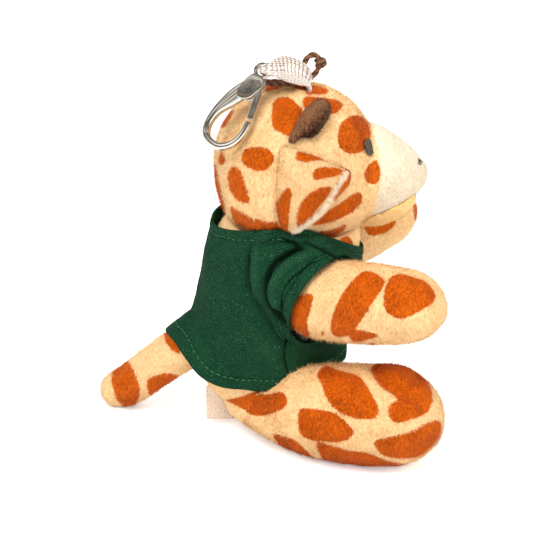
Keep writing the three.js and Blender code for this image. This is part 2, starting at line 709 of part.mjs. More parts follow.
const fromEye = (span) => ([x, y, z]) => vec(x, y, z).multiplyScalar(span).add(eyeMiddle);
const tapePath = [
  ...tapeNearShares.map(fromEye(tape.span)),
  ...tapeTurns.map((turn) =>
    inClasp(claspEye.ring * (1 - Math.cos(rad(turn))), 0, claspEye.ring * Math.sin(rad(turn))),
  ),
  ...tapeFarShares.map(fromEye(tape.span)),
];
place(
  "hanging_tape",
  cut(
    sweep({
      path: tapePath,
      side: vec(0, Math.sin(rad(tape.leanTurn)), Math.cos(rad(tape.leanTurn))),
      girth: tape.wide,
      riseGirth: tape.thick,
      shares: tapeWideShares,
      riseShares: tapeThickShares,
      rows: 36,
      sides: 8,
      round: tape.thick / 4,
    }),
    headForm(clearance),
  ),
  cotton,
);
const knotMiddle = vec(knot.x, knot.y, knot.z).add(eyeMiddle);
const knotForm = (grow = 0) =>
  ball({
    middle: knotMiddle,
    long: knot.long + 2 * grow,
    wide: knot.wide + 2 * grow,
    tall: knot.tall + 2 * grow,
    rows: 8,
    sides: 12,
  });
place("string_knot", knotForm(), twine);
place(
  "hang_string",
  cut(
    sweep({
      path: stringRouteShares.map(fromEye(string.span)),
      side: up,
      girth: string.thick,
      rows: 56,
      sides: 8,
      round: string.thick / 4,
    }),
    knotForm(clearance),
    headForm(clearance),
  ),
  twine,
);

// The origin goes to the middle of the part's footprint.
const extent = new THREE.Box3().setFromObject(group);
const middle = extent.getCenter(vec(0, 0, 0));
group.position.set(-middle.x, -middle.y, -extent.min.z);

export default group;
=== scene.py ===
# A small seated plush giraffe in a green knitted shirt, with a lobster clasp hung from the tape on its head.
import math

import bmesh
import bpy
import numpy as np
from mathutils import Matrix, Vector, noise
from mathutils.bvhtree import BVHTree


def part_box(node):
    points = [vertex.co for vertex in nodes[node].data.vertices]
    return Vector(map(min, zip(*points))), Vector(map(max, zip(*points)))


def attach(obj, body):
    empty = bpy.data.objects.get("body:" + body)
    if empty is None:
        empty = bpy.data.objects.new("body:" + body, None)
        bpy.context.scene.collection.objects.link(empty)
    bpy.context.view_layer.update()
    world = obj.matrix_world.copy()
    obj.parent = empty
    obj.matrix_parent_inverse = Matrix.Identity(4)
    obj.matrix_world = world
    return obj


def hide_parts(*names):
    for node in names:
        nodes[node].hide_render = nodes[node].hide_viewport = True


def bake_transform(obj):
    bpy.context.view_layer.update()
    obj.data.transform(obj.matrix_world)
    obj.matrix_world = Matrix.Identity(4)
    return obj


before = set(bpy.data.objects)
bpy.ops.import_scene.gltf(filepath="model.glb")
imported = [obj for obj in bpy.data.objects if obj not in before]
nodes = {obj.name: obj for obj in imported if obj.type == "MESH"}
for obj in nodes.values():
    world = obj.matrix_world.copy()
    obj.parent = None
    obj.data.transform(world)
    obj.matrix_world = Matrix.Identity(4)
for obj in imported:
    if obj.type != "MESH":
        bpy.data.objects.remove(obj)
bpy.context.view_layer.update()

MM = 0.001
head_low, head_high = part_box("head")
# The drawing's own origin: the head's middle is 9 mm ahead of it.
origin = Vector(((head_low.x + head_high.x) / 2 - 9 * MM, (head_low.y + head_high.y) / 2, 0))


def at(x, y, z):
    """A place given in millimetres from the drawing's origin."""
    return Vector((x, y, z)) * MM + origin


# Camera, found from the photograph's outline
AZIMUTH, ELEVATION, DISTANCE = math.radians(-10), math.radians(20), 0.42
IMAGE, FOCAL = 533, 1342.0  # the photograph's side and the focal length, in pixels
SENSOR = 36
back = Vector(
    (
        math.sin(AZIMUTH) * math.cos(ELEVATION),
        -math.cos(AZIMUTH) * math.cos(ELEVATION),
        math.sin(ELEVATION),
    )
)
right = Vector((math.cos(AZIMUTH), math.sin(AZIMUTH), 0))
upward = back.cross(right)
eye_place = at(0, 0, 52) + back * DISTANCE
camera = bpy.data.objects.new("camera", bpy.data.cameras.new("camera"))
camera.location = eye_place
camera.rotation_euler = back.to_track_quat("Z", "Y").to_euler()
camera.data.sensor_width = SENSOR
camera.data.lens = FOCAL / IMAGE * SENSOR
camera.data.clip_start = 0.01  # metres
bpy.context.scene.collection.objects.link(camera)
bpy.context.scene.camera = camera


def seen(points):
    """Where points in the frame fall in the photograph's frame, as an array of two columns."""
    rel = np.asarray(points) - np.array(eye_place)
    depth = -rel @ np.array(back)
    across = IMAGE / 2 + FOCAL * (rel @ np.array(right)) / depth
    down = IMAGE / 2 - FOCAL * (rel @ np.array(upward)) / depth
    return np.stack([across, down], 1)


def sight(px, py):
    """The direction from the camera through a place in the photograph's frame."""
    way = -back + right * ((px - IMAGE / 2) / FOCAL) - upward * ((py - IMAGE / 2) / FOCAL)
    return way.normalized()


# Meshes
def link(name, mesh):
    obj = bpy.data.objects.new(name, mesh)
    bpy.context.scene.collection.objects.link(obj)
    return obj


def make(name, verts, faces, smooth=True):
    mesh = bpy.data.meshes.new(name)
    mesh.from_pydata([tuple(v) for v in verts], [], [tuple(f) for f in faces])
    mesh.update()
    if smooth:
        mesh.shade_smooth()
    return link(name, mesh)


def settle(obj):
    """Applies the modifiers of an object."""
    graph = bpy.context.evaluated_depsgraph_get()
    mesh = bpy.data.meshes.new_from_object(obj.evaluated_get(graph))
    obj.modifiers.clear()
    obj.data = mesh
    mesh.shade_smooth()
    return obj


def tree_of(obj):
    """A search tree of an object's faces as it stands now."""
    return BVHTree.FromObject(obj, bpy.context.evaluated_depsgraph_get())


def coords(mesh):
    co = np.zeros(len(mesh.vertices) * 3)
    mesh.vertices.foreach_get("co", co)
    return co.reshape(-1, 3)


def normals(mesh):
    no = np.zeros(len(mesh.vertices) * 3)
    mesh.vertex_normals.foreach_get("vector", no)
    return no.reshape(-1, 3)


def move(mesh, co):
    mesh.vertices.foreach_set("co", np.asarray(co).ravel())
    mesh.update()


def attribute(mesh, name, values):
    found = mesh.attributes.get(name) or mesh.attributes.new(name, "FLOAT", "POINT")
    found.data.foreach_set("value", np.asarray(values, np.float32))


def swell(mesh, amount):
    """Moves each vertex along its normal, by one amount or an array of them."""
    move(mesh, coords(mesh) + normals(mesh) * np.reshape(amount, (-1, 1)))


def rounded(obj, voxel, soften, swollen):
    """Makes one closed skin of an object's solids, with their cut edges rounded as seams."""
    obj.data.materials.clear()
    remesh = obj.modifiers.new("remesh", "REMESH")
    remesh.mode, remesh.voxel_size = "VOXEL", voxel * MM
    smooth = obj.modifiers.new("smooth", "SMOOTH")
    smooth.factor, smooth.iterations = 0.5, soften
    settle(obj)
    swell(obj.data, swollen * MM)
    return obj


def stuffed(name, source, voxel=0.9, soften=14, swollen=0.25):
    """A smooth closed copy of a CAD node's form."""
    return rounded(link(name, nodes[source].data.copy()), voxel, soften, swollen)


def sewn(names, soften, fillers=()):
    """Copies of CAD nodes that are sewn to each other, their skins running smoothly from one to the next.

    Fillers are rounded bars of stuffing under the skin: two ends and a radius, in the frame.
    """
    whole = bmesh.new()
    for a, b, radius in fillers:
        way = (b - a).normalized()
        aside = way.orthogonal().normalized()
        other = way.cross(aside)
        rings = []
        for turn in np.linspace(-89, 89, 19):
            turn = math.radians(turn)
            middle = (a if turn < 0 else b) + way * radius * math.sin(turn)
            flat = radius * math.cos(turn)
            ring = [middle + (aside * math.cos(t) + other * math.sin(t)) * flat for t in np.arange(24) * math.pi / 12]
            rings.append(ring)
        bar = outward(loft("bar", rings))
        whole.from_mesh(bar.data)
        bpy.data.objects.remove(bar)
    trees = {}
    for name in names:
        whole.from_mesh(nodes[name].data)
        trees[name] = tree_of(nodes[name])
    mesh = bpy.data.meshes.new("whole")
    whole.to_mesh(mesh)
    whole.free()
    obj = rounded(link("whole", mesh), 0.9, soften, 0.25)
    found = {}
    for face in obj.data.polygons:
        far = {name: tree.find_nearest(face.center)[3] for name, tree in trees.items()}
        found.setdefault(min(far, key=far.get), []).append(face.index)
    parts = {}
    for name in names:
        work = bmesh.new()
        work.from_mesh(obj.data)
        keep = set(found[name])
        bmesh.ops.delete(work, geom=[f for f in work.faces if f.index not in keep], context="FACES")
        piece = bpy.data.meshes.new(f"{name}_plush")
        work.to_mesh(piece)
        work.free()
        piece.shade_smooth()
        parts[name] = link(f"{name}_plush", piece)
    bpy.data.objects.remove(obj)
    return parts


def hilly(points, size, seed):
    """Smooth noise at points, with hills of about a size in millimetres."""
    shift = Vector((seed * 3.7, seed * 1.3, seed * 2.1))
    return np.array([noise.noise(Vector(p) / (size * MM) + shift) for p in points])


def curved(a, b, c, d, t):
    """A smooth curve's value at a share of the way from b to c, with a before them and d after."""
    return b + t * (c - a + t * (2 * a - 5 * b + 4 * c - d + t * (3 * (b - c) + d - a))) / 2


def grown(polygon):
    """A closed outline with three points added along a smooth curve between each two."""
    p = np.array(polygon, float)
    around = [np.roll(p, 1, 0), p, np.roll(p, -1, 0), np.roll(p, -2, 0)]
    return np.stack([curved(*around, t) for t in (0, 0.25, 0.5, 0.75)], 1).reshape(-1, 2)


def to_line(points, line, closed=False):
    """The distance of each point from a run of straight pieces."""
    line = np.asarray(line, float)
    ends = np.roll(line, -1, 0) if closed else line[1:]
    starts = line if closed else line[:-1]
    best = np.full(len(points), 1e9)
    for a, b in zip(starts, ends):
        ab = b - a
        t = np.clip(((points - a) @ ab) / max(ab @ ab, 1e-9), 0, 1)
        best = np.minimum(best, np.hypot(*(points - a - t[:, None] * ab).T))
    return best


def within(points, polygon):
    """The distance inside a closed outline, negative outside it."""
    inside = np.zeros(len(points), bool)
    x, y = points.T
    for (x0, y0), (x1, y1) in zip(polygon, np.roll(polygon, -1, 0)):
        crosses = (y0 > y) != (y1 > y)
        if y1 != y0:
            inside ^= crosses & (x < (x1 - x0) * (y - y0) / (y1 - y0) + x0)
    far = to_line(points, polygon, True)
    return np.where(inside, far, -far)


def value_at(values, share):
    """The value at a share of the way along a list, on a smooth curve through its entries."""
    v = np.asarray(values, float)
    place = np.clip(share, 0, 1) * (len(v) - 1)
    i = np.minimum(np.floor(place).astype(int), len(v) - 2)
    return curved(*(v[np.clip(i + k, 0, len(v) - 1)] for k in (-1, 0, 1, 2)), place - i)


def run_of(path):
    """How far along a path each of its places is."""
    return np.concatenate([[0], np.cumsum(np.linalg.norm(np.diff(path, axis=0), axis=1))])


def units(rows):
    """Rows of directions, each made one long."""
    return rows / np.linalg.norm(rows, axis=1, keepdims=True)


def circle(count):
    """Angles evenly round a circle."""
    return np.linspace(0, 2 * math.pi, count, endpoint=False)


def spline(points, count, looped=False):
    """A smooth curve through points, with its places evenly far apart."""
    p = np.asarray(points, float)
    fine = np.linspace(0, 1, count * 8 + 1)
    if looped:
        ring = np.vstack([p[-1:], p, p[:2]])
        place = fine * len(p)
        i = np.minimum(np.floor(place).astype(int), len(p) - 1)
        curve = curved(*(ring[i + k] for k in range(4)), (place - i)[:, None])
    else:
        curve = np.stack([value_at(p[:, k], fine) for k in range(p.shape[1])], 1)
    run = run_of(curve)
    even = np.linspace(0, run[-1], count + 1)
    return np.stack([np.interp(even, run, curve[:, k]) for k in range(p.shape[1])], 1)


def loft(name, rings, caps=True, looped=False, closed=True):
    """A surface through rings of points, given as an array of rows, places on a row, and three values."""
    rings = np.asarray(rings, float)
    rows, sides = rings.shape[:2]
    verts = rings.reshape(-1, 3)
    faces = []
    for i in range(rows if looped else rows - 1):
        k = (i + 1) % rows
        for j in range(sides if closed else sides - 1):
            m = (j + 1) % sides
            faces.append((i * sides + j, i * sides + m, k * sides + m, k * sides + j))
    if caps and not looped:
        faces.append(tuple(range(sides))[::-1])
        faces.append(tuple(range((rows - 1) * sides, rows * sides)))
    return make(name, verts, faces)


def outward(obj):
    """Turns a closed mesh's faces outward."""
    work = bmesh.new()
    work.from_mesh(obj.data)
    bmesh.ops.recalc_face_normals(work, faces=work.faces)
    work.to_mesh(obj.data)
    work.free()
    obj.data.update()
    return obj


PIXEL = 0.313  # millimetres on the object to a pixel of the photograph, about


def patches(points, outlines):
    """How far inside its nearest patch each point is seen, in millimetres."""
    flat = seen(points)
    best = np.full(len(points), -9.0)
    for outline in outlines:
        edge = grown(outline)
        low, high = edge.min(0) - 9, edge.max(0) + 9
        near = np.all((flat > low) & (flat < high), 1)
        if near.any():
            best[near] = np.maximum(best[near], within(flat[near], edge) * PIXEL)
    return best


def scattered(points, way, spacing, seed):
    """How far inside one of many oval patches each point is, on a side that the photograph doesn't show."""
    own = np.random.default_rng(seed)
    order = own.permutation(len(points))
    chosen = []
    for i in order[:4000]:
        if all(np.linalg.norm(points[i] - points[j]) > spacing * MM for j in chosen):
            chosen.append(i)
    best = np.full(len(points), -9.0)
    for i in chosen:
        axis = np.array(way) + own.normal(0, 0.45, 3)
        axis /= np.linalg.norm(axis)
        rel = (points - points[i]) / MM
        along = rel @ axis
        aside = np.sqrt(np.maximum((rel**2).sum(1) - along**2, 0))
        wide = own.uniform(4.2, 6.4)
        reach = np.hypot(along / own.uniform(1.1, 1.5), aside)
        best = np.maximum(best, wide - reach)
    return best


# The brown patches as the photograph shows them, by their outlines in its frame.
HEAD_PATCHES = [
    [(282, 97), (291, 98), (299, 106), (304, 112), (301, 121), (293, 131), (288, 136), (278, 131),
     (272, 124), (273, 104), (277, 98)],
    [(304, 98), (316, 97), (326, 98), (337, 100), (343, 104), (340, 110), (332, 114), (322, 110),
     (313, 108), (304, 108)],
    [(306, 87), (318, 86), (328, 90), (327, 94), (315, 95), (307, 94)],
    [(350, 116), (362, 117), (369, 126), (370, 137), (366, 148), (358, 153), (350, 154), (341, 149),
     (338, 142), (340, 125)],
    [(264, 147), (271, 151), (275, 158), (272, 164), (266, 170), (258, 171), (249, 168), (243, 162),
     (243, 154), (248, 148)],
    [(233, 166), (240, 170), (245, 182), (250, 202), (243, 202), (236, 199), (230, 190), (228, 175)],
    [(222, 152), (226, 159), (224, 164), (219, 163), (219, 155)],
    [(375, 160), (379, 165), (380, 177), (376, 184), (368, 183), (364, 176), (366, 168)],
    [(356, 192), (362, 195), (360, 204), (350, 213), (334, 221), (316, 225), (312, 223), (325, 212),
     (340, 203)],
    [(231, 206), (240, 211), (254, 219), (262, 229), (250, 230), (235, 222)],
    [(255, 218), (268, 222), (279, 222), (280, 233), (262, 229)],
    [(312, 233), (330, 230), (346, 224), (342, 232), (331, 238), (322, 240)],
    [(264, 86), (280, 80), (296, 78), (307, 83), (306, 91), (297, 89), (288, 86), (276, 90), (266, 92)],
    [(332, 242), (350, 230), (350, 240), (344, 248)],
    [(213, 160), (217, 168), (221, 190), (226, 210), (219, 210), (213, 184)],
    [(229, 110), (234, 112), (229, 122), (224, 128), (221, 122)],
]
EAR_PATCHES = [
    [(296, 153), (302, 150), (309, 151), (326, 160), (313, 161), (304, 162), (296, 160)],
    [(313, 171), (322, 167), (345, 169), (335, 176), (324, 178), (314, 180)],
    [(286, 188), (291, 190), (290, 205), (288, 222), (287, 233), (281, 226), (278, 215), (279, 198)],
    [(328, 186), (331, 189), (325, 199), (314, 212), (308, 222), (299, 228), (296, 222), (298, 208),
     (307, 195), (318, 188)],
]
ARM_PATCHES = [
    [(366, 271), (374, 273), (381, 277), (384, 284), (372, 304), (356, 327), (350, 334), (338, 337),
     (331, 331), (332, 316), (344, 291), (358, 275)],
    [(350, 330), (366, 331), (378, 335), (368, 340), (352, 341)],
    [(392, 276), (404, 274), (424, 281), (434, 291), (434, 301), (425, 308), (410, 316), (400, 319),
     (389, 314), (384, 306), (384, 292), (388, 281)],
    [(304, 294), (313, 295), (311, 308), (307, 322), (309, 337), (296, 330), (286, 318), (289, 302)],
    [(321, 331), (324, 332), (323, 335), (321, 335)],
    [(361, 345), (376, 343), (372, 350), (362, 350)],
]
LEG_PATCHES = [
    [(227, 396), (240, 400), (257, 395), (270, 394), (282, 392), (287, 399), (286, 406), (276, 412),
     (258, 416), (242, 410)],
    [(298, 414), (304, 408), (331, 412), (345, 421), (353, 432), (348, 439), (335, 442), (316, 441),
     (304, 437), (299, 430)],
    [(324, 366), (338, 370), (356, 375), (364, 382), (377, 405), (377, 415), (370, 419), (354, 418),
     (336, 410), (326, 398), (321, 384), (317, 375)],
    [(374, 364), (402, 364), (418, 371), (429, 384), (432, 396), (429, 410), (420, 416), (402, 422),
     (394, 422), (388, 414), (389, 405), (396, 400), (391, 394), (380, 386), (371, 374)],
    [(437, 420), (441, 427), (437, 440), (421, 455), (405, 458), (388, 457), (377, 450), (374, 441),
     (388, 437), (408, 432), (424, 424)],
    [(316, 443), (333, 446), (350, 450), (368, 453), (386, 460), (404, 464), (390, 472), (365, 472),
     (338, 468), (324, 461)],
    [(273, 434), (293, 439), (303, 447), (315, 460), (300, 458), (282, 448)],
]
TAIL_PATCHES = [
    [(124, 359), (129, 361), (135, 374), (140, 388), (138, 401), (130, 408), (119, 402), (114, 391),
     (112, 379), (115, 366)],
    [(150, 378), (166, 373), (179, 376), (170, 388), (152, 396), (147, 386)],
    [(165, 328), (173, 328), (180, 344), (180, 354), (170, 348), (165, 339)],
]
FAR_ARM_PATCHES = [
    [(368, 213), (380, 214), (391, 215), (396, 222), (391, 229), (381, 234), (369, 235), (364, 226)],
    [(413, 204), (419, 206), (421, 216), (416, 222), (413, 214)],
    [(330, 190), (345, 205), (352, 225), (345, 240), (330, 230)],
]
SEAT_PATCHES = [
    [(226, 400), (240, 397), (260, 390), (277, 391), (285, 398), (284, 408), (276, 413), (260, 414),
     (247, 411), (235, 405)],
    [(314, 226), (330, 228), (341, 227), (337, 236), (326, 241), (316, 238)],
    [(339, 241), (347, 236), (353, 243), (350, 253), (340, 249)],
]
# Beyond this outline the face is pale.
FACE_REST = [
    (340, 60), (366, 100), (371, 120), (374, 136), (378, 154), (381, 173), (379, 186), (377, 197),
    (371, 218), (350, 240), (300, 240), (300, 60),
]


# Materials
class Graph:
    """Builds the nodes of one material."""

    def __init__(self, name):
        self.material = bpy.data.materials.new(name)
        self.material.use_nodes = True
        self.tree = self.material.node_tree
        self.shader = self.tree.nodes["Principled BSDF"]

    def node(self, kind, inputs=None, **settings):
        made = self.tree.nodes.new(kind)
        for key, value in settings.items():
            setattr(made, key, value)
        for key, value in (inputs or {}).items():
            self.put(made.inputs[key], value)
        return made

    def put(self, socket, value):
        if isinstance(value, bpy.types.NodeSocket):
            self.tree.links.new(value, socket)
        else:
            socket.default_value = value

    def value(self, name):
        return self.node("ShaderNodeAttribute", attribute_name=name).outputs["Fac"]

    def maths(self, kind, a, b=0.0, c=0.0):
        return self.node("ShaderNodeMath", {0: a, 1: b, 2: c}, operation=kind).outputs[0]

    def spread(self, value, low, high, to_low=0.0, to_high=1.0):
        given = {"Value": value, "From Min": low, "From Max": high, "To Min": to_low, "To Max": to_high}
        return self.node("ShaderNodeMapRange", given, interpolation_type="SMOOTHSTEP").outputs[0]

    def noise(self, size, detail=2.0, stretch=(1, 1, 1), rough=0.5):
        place = self.node("ShaderNodeTexCoord").outputs["Object"]
        scale = tuple(s / (size * MM) for s in stretch)
        mapped = self.node("ShaderNodeMapping", {"Vector": place, "Scale": scale})
        given = {"Vector": mapped.outputs[0], "Scale": 1.0, "Detail": detail, "Roughness": rough}
        return self.node("ShaderNodeTexNoise", given).outputs[0]

    def mix(self, share, a, b):
        made = self.node("ShaderNodeMix", data_type="RGBA")
        self.put(made.inputs[0], share)
        self.put(made.inputs[6], a)
        self.put(made.inputs[7], b)
        return made.outputs[2]

    def bump(self, height, distance, strength):
        given = {"Height": height, "Distance": distance * MM, "Strength": strength}
        return self.node("ShaderNodeBump", given).outputs[0]

    def finish(self, **inputs):
        for key, value in inputs.items():
            self.put(self.shader.inputs[key.replace("_", " ")], value)
        return self.material


def paint(hex_color):
    """A colour written as it looks, turned into the values that the renderer works in."""
    parts = [int(hex_color[i : i + 2], 16) / 255 for i in (1, 3, 5)]
    return tuple(c / 12.92 if c <= 0.04045 else ((c + 0.055) / 1.055) ** 2.4 for c in parts) + (1.0,)


# Hang string
STRING_ROUTE = [
    (0.925, 0.32, -0.015), (0.85, 0.335, -0.145), (0.735, 0.35, -0.235), (0.55, 0.39, -0.258),
    (0.3, 0.4, -0.255), (0.13, 0.35, -0.24), (0.06, 0.25, -0.22), (0.15, 0.205, -0.235),
    (0.35, 0.235, -0.25), (0.55, 0.27, -0.245), (0.635, 0.285, -0.15), (0.67, 0.285, 0),
    (0.73, 0.295, 0.11), (0.815, 0.305, 0.15), (0.88, 0.31, 0.125), (0.915, 0.31, 0.07),
]
g = Graph("brown_twine")
strand = g.noise(0.25, 3, rough=0.7)
# The tone attribute carries random strand tone and the cord's painted shade between its strands.
share = g.spread(g.maths("ADD", strand, g.value("tone")), 0.3, 0.8)
twine = g.finish(
    Base_Color=g.mix(share, paint("#38200f"), paint("#8d5f41")),
    Roughness=0.85,
    Normal=g.bump(strand, 0.12, 0.7),
    Sheen_Weight=0.1,
)
# The middle of the clasp's eye, which the cord's and the tape's routes are given from, in their own units.
ring_middle = at(-2.9, -9.1, 115.8)
STRING_UNIT, TAPE_UNIT = 20 * MM, 15 * MM
STRING_THICK = 1.8 * MM


def route(places, unit):
    return [np.array(ring_middle) + np.array(v) * unit for v in places]


string_path = spline(route(STRING_ROUTE, STRING_UNIT), 360)


def twisted(name, path, thick, pitch):
    """A cord of two strands twisted round each other, with painted shade in the grooves between them."""
    across = np.array([0.0, 0.0, 1.0])
    rings, ply_shades = [], []
    for spot, way, far in zip(path, units(np.gradient(path, axis=0)), run_of(path)):
        across = across - way * (across @ way)
        across /= np.linalg.norm(across)
        other = np.cross(way, across)
        ring = []
        for t in circle(24):
            lobe = abs(math.cos(t - 2 * math.pi * far / pitch / 2))
            size = thick / 2 * (0.72 + 0.28 * lobe)
            ring.append(spot + (across * math.cos(t) + other * math.sin(t)) * size)
            # Painted shade: a strand is coloured darker in the groove between the two strands and lighter where it
            # bulges out.
            ply_shades.append(0.35 * lobe - 0.2)
        rings.append(ring)
    obj = outward(loft(name, rings))
    attribute(obj.data, "tone", ply_shades)
    obj.data.materials.append(twine)
    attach(obj, "body")
    return obj


string = twisted("hang_string_cord", string_path, STRING_THICK, 2.6 * MM)
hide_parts("hang_string")
knot_middle = np.array(at(-2.9 + 18.6, -9.1 + 6.3, 115.8 + 0.6))
knot_path = []
for t in circle(160):
    wide = 0.95 + 0.4 * math.cos(3 * t)
    knot_path.append(
        knot_middle + np.array([wide * math.cos(2 * t), wide * math.sin(2 * t), 0.85 * math.sin(3 * t)]) * MM
    )
knot = twisted("string_knot_cord", np.array(knot_path), 1.45 * MM, 2.2 * MM)
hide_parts("string_knot")


def plush(name, light, dark, patch_light=None, patch_dark=None, sheen=0.06, pale=None):
    g = Graph(name)
    broad = g.noise(7, 2)
    strands = g.noise(0.5, 2, (1, 1, 0.4))
    tone = g.value("tone")
    mottled = g.maths("MULTIPLY_ADD", strands, 0.7, g.maths("MULTIPLY", broad, 0.3))
    share = g.maths("ADD", g.spread(mottled, 0.22, 0.66), tone)
    color = g.mix(share, paint(dark), paint(light))
    if pale:
        smooth = g.mix(share, paint(pale[1]), paint(pale[0]))
        edge = g.maths("MULTIPLY_ADD", g.noise(0.7, 2), 1.2, g.value("pale"))
        color = g.mix(g.spread(edge, 0.1, 1.3), color, smooth)
    if patch_light:
        wander = g.maths("MULTIPLY_ADD", g.noise(0.7, 2), 1.0, -0.5)
        inside = g.spread(g.maths("ADD", g.value("patch"), wander), -0.28, 0.28)
        deep = g.maths("ADD", g.spread(mottled, 0.25, 0.75), g.maths("MULTIPLY", tone, 1.2))
        color = g.mix(inside, color, g.mix(deep, paint(patch_dark), paint(patch_light)))
    return g.finish(
        Base_Color=color,
        Roughness=0.92,
        Normal=g.bump(strands, 0.3, 0.25),
        Sheen_Weight=sheen,
        Sheen_Roughness=0.5,
        Specular_IOR_Level=0.15,
    )


CREAM = ("#f9d8a2", "#dfa363", "#e36a0a", "#983d03")  # light and dark, then the patches' light and dark
cream = plush("spotted_plush", *CREAM)
face = plush("muzzle_plush", *CREAM, pale=("#f1e3cb", "#cdb896"))
jaw_plush = plush("jaw_plush", "#fbd795", "#e5ac62")
brown = plush("brown_plush", "#a06f4b", "#2a1409", sheen=0.1)


LIFT, BLADE_WIDE, BLADE_SUNK = 0.42, 0.17 * MM, 0.12 * MM


def fibres(source, count, long, name, material, grain, seed, body, varied):
    """A short pile: fine blades that stand on a form and lean along its grain."""
    mesh = source.data
    mesh.calc_loop_triangles()
    co, no = coords(mesh), normals(mesh)
    tri = np.zeros(len(mesh.loop_triangles) * 3, int)
    mesh.loop_triangles.foreach_get("vertices", tri)
    tri = tri.reshape(-1, 3)
    a, b, c = (co[tri[:, i]] for i in range(3))
    area = np.linalg.norm(np.cross(b - a, c - a), axis=1)
    own = np.random.default_rng(seed)
    pick = own.choice(len(tri), count, p=area / area.sum())
    u, v = own.random(count), own.random(count)
    flip = u + v > 1
    u[flip], v[flip] = 1 - u[flip], 1 - v[flip]
    w = np.stack([1 - u - v, u, v], 1)
    root = (co[tri[pick]] * w[:, :, None]).sum(1)
    normal = units((no[tri[pick]] * w[:, :, None]).sum(1))
    way = np.tile(np.array(grain, float), (count, 1)) + own.normal(0, 0.45, (count, 3))
    way -= normal * (way * normal).sum(1, keepdims=True)
    way /= np.maximum(np.linalg.norm(way, axis=1, keepdims=True), 1e-6)
    way = way * (1 - LIFT) + normal * LIFT + own.normal(0, 0.12, (count, 3))
    stray = own.random((count, 1)) < 0.1
    way = units(np.where(stray, way * 0.5 + normal, way))
    length = long * MM * own.uniform(0.55, 1.25, (count, 1)) * np.where(stray, 1.15, 1)
    side = np.cross(way, normal + own.normal(0, 0.25, (count, 3)))
    side /= np.maximum(np.linalg.norm(side, axis=1, keepdims=True), 1e-6)
    side *= BLADE_WIDE / 2
    root = root - normal * BLADE_SUNK
    verts = np.stack([root - side, root + side, root + way * length], 1).reshape(-1, 3)
    faces = np.arange(3 * count).reshape(-1, 3)
    made = bpy.data.meshes.new(name)
    made.vertices.add(len(verts))
    made.vertices.foreach_set("co", verts.ravel())
    made.loops.add(3 * count)
    made.loops.foreach_set("vertex_index", faces.ravel())
    made.polygons.add(count)
    made.polygons.foreach_set("loop_start", np.arange(0, 3 * count, 3))
    made.update()
    made.validate()
    obj = link(name, made)
    for kept in ("patch", "pale", "tone"):
        if kept in mesh.attributes:
            values = np.zeros(len(mesh.vertices), np.float32)
            mesh.attributes[kept].data.foreach_get("value", values)
            values = (values[tri[pick]] * w).sum(1)
            if kept == "tone":
                values = values + own.normal(0.12, varied, count)
            attribute(made, kept, np.repeat(values, 3))
    # A blade is lit as the form under it is, and a stray one as its own face.
    shade = np.where(stray, np.cross(side, way) / (BLADE_WIDE / 2), normal * 0.95 + way * 0.25)
    made.normals_split_custom_set_from_vertices(units(np.repeat(shade, 3, 0)).tolist())
    made.materials.append(material)
    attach(obj, body)
    return obj


def mirrored_y(points):
    turned = np.array(points)
    turned[:, 1] = 2 * origin.y - turned[:, 1]
    return turned


def patch(obj, outlines, mirror=False, way=(0, 0, 1), spacing=15, seed=3, shown_from=0):
    """Lays the photographed patches on the side that faces the camera and others elsewhere.

    What lies left of shown_from in the photograph's frame is behind other pieces there.
    """
    mesh = obj.data
    co, no = coords(mesh), normals(mesh)
    facing = (no * units(np.array(eye_place) - co)).sum(1)
    shown = patches(co, outlines)
    hidden = patches(mirrored_y(co), outlines) if mirror else scattered(co, way, spacing, seed)
    facing_here = (facing > -0.05) & (seen(co)[:, 0] > shown_from)
    attribute(mesh, "patch", np.where(facing_here, shown, hidden))


# Stuffed pieces
SEAM = [(308, 84), (305, 97), (303, 110), (297, 130), (289, 143), (283, 152), (279, 166), (278, 190), (277, 240)]


def groove(obj, lines, deep=0.7, wide=1.1):
    """Draws a form in along sewn seams, given by their lines in the photograph's frame, and as much on its left."""
    mesh = obj.data
    co, no = coords(mesh), normals(mesh)
    facing = (no * (np.array(eye_place) - co)).sum(1) > 0
    near, far = seen(co), seen(mirrored_y(co))
    dent = np.zeros(len(co))
    for line in lines:
        away = np.where(facing, to_line(near, line), to_line(far, line)) * PIXEL
        dent = np.maximum(dent, np.exp(-((away / wide) ** 2)))
    swell(mesh, -dent * deep * MM)


CENTRE = (310, 270)  # of the giraffe in the photograph's frame


def cast(px, py, trees, lift=0.0):
    """The place seen at a point of the photograph, or just inside it, lifted off its surface to the camera."""
    for step in range(12):
        share = 0.03 * step
        way = sight(px + (CENTRE[0] - px) * share, py + (CENTRE[1] - py) * share)
        hits = [hit for hit in (tree.ray_cast(eye_place, way) for tree in trees) if hit[0] is not None]
        if hits:
            break
    place, normal, _, _ = min(hits, key=lambda hit: hit[3])
    return place - way * (lift * MM / max(0.35, -way.dot(normal)))


skull = sewn(["head", "muzzle"], 12)
head, muzzle = skull["head"], skull["muzzle"]
seat_trees = [tree_of(nodes[name]) for name in ("torso", "leg_right")]


def under(px, py, deep):
    """The place a number of millimetres behind what is seen of the seat at a point of the photograph."""
    return cast(px, py, seat_trees) + sight(px, py) * deep * MM


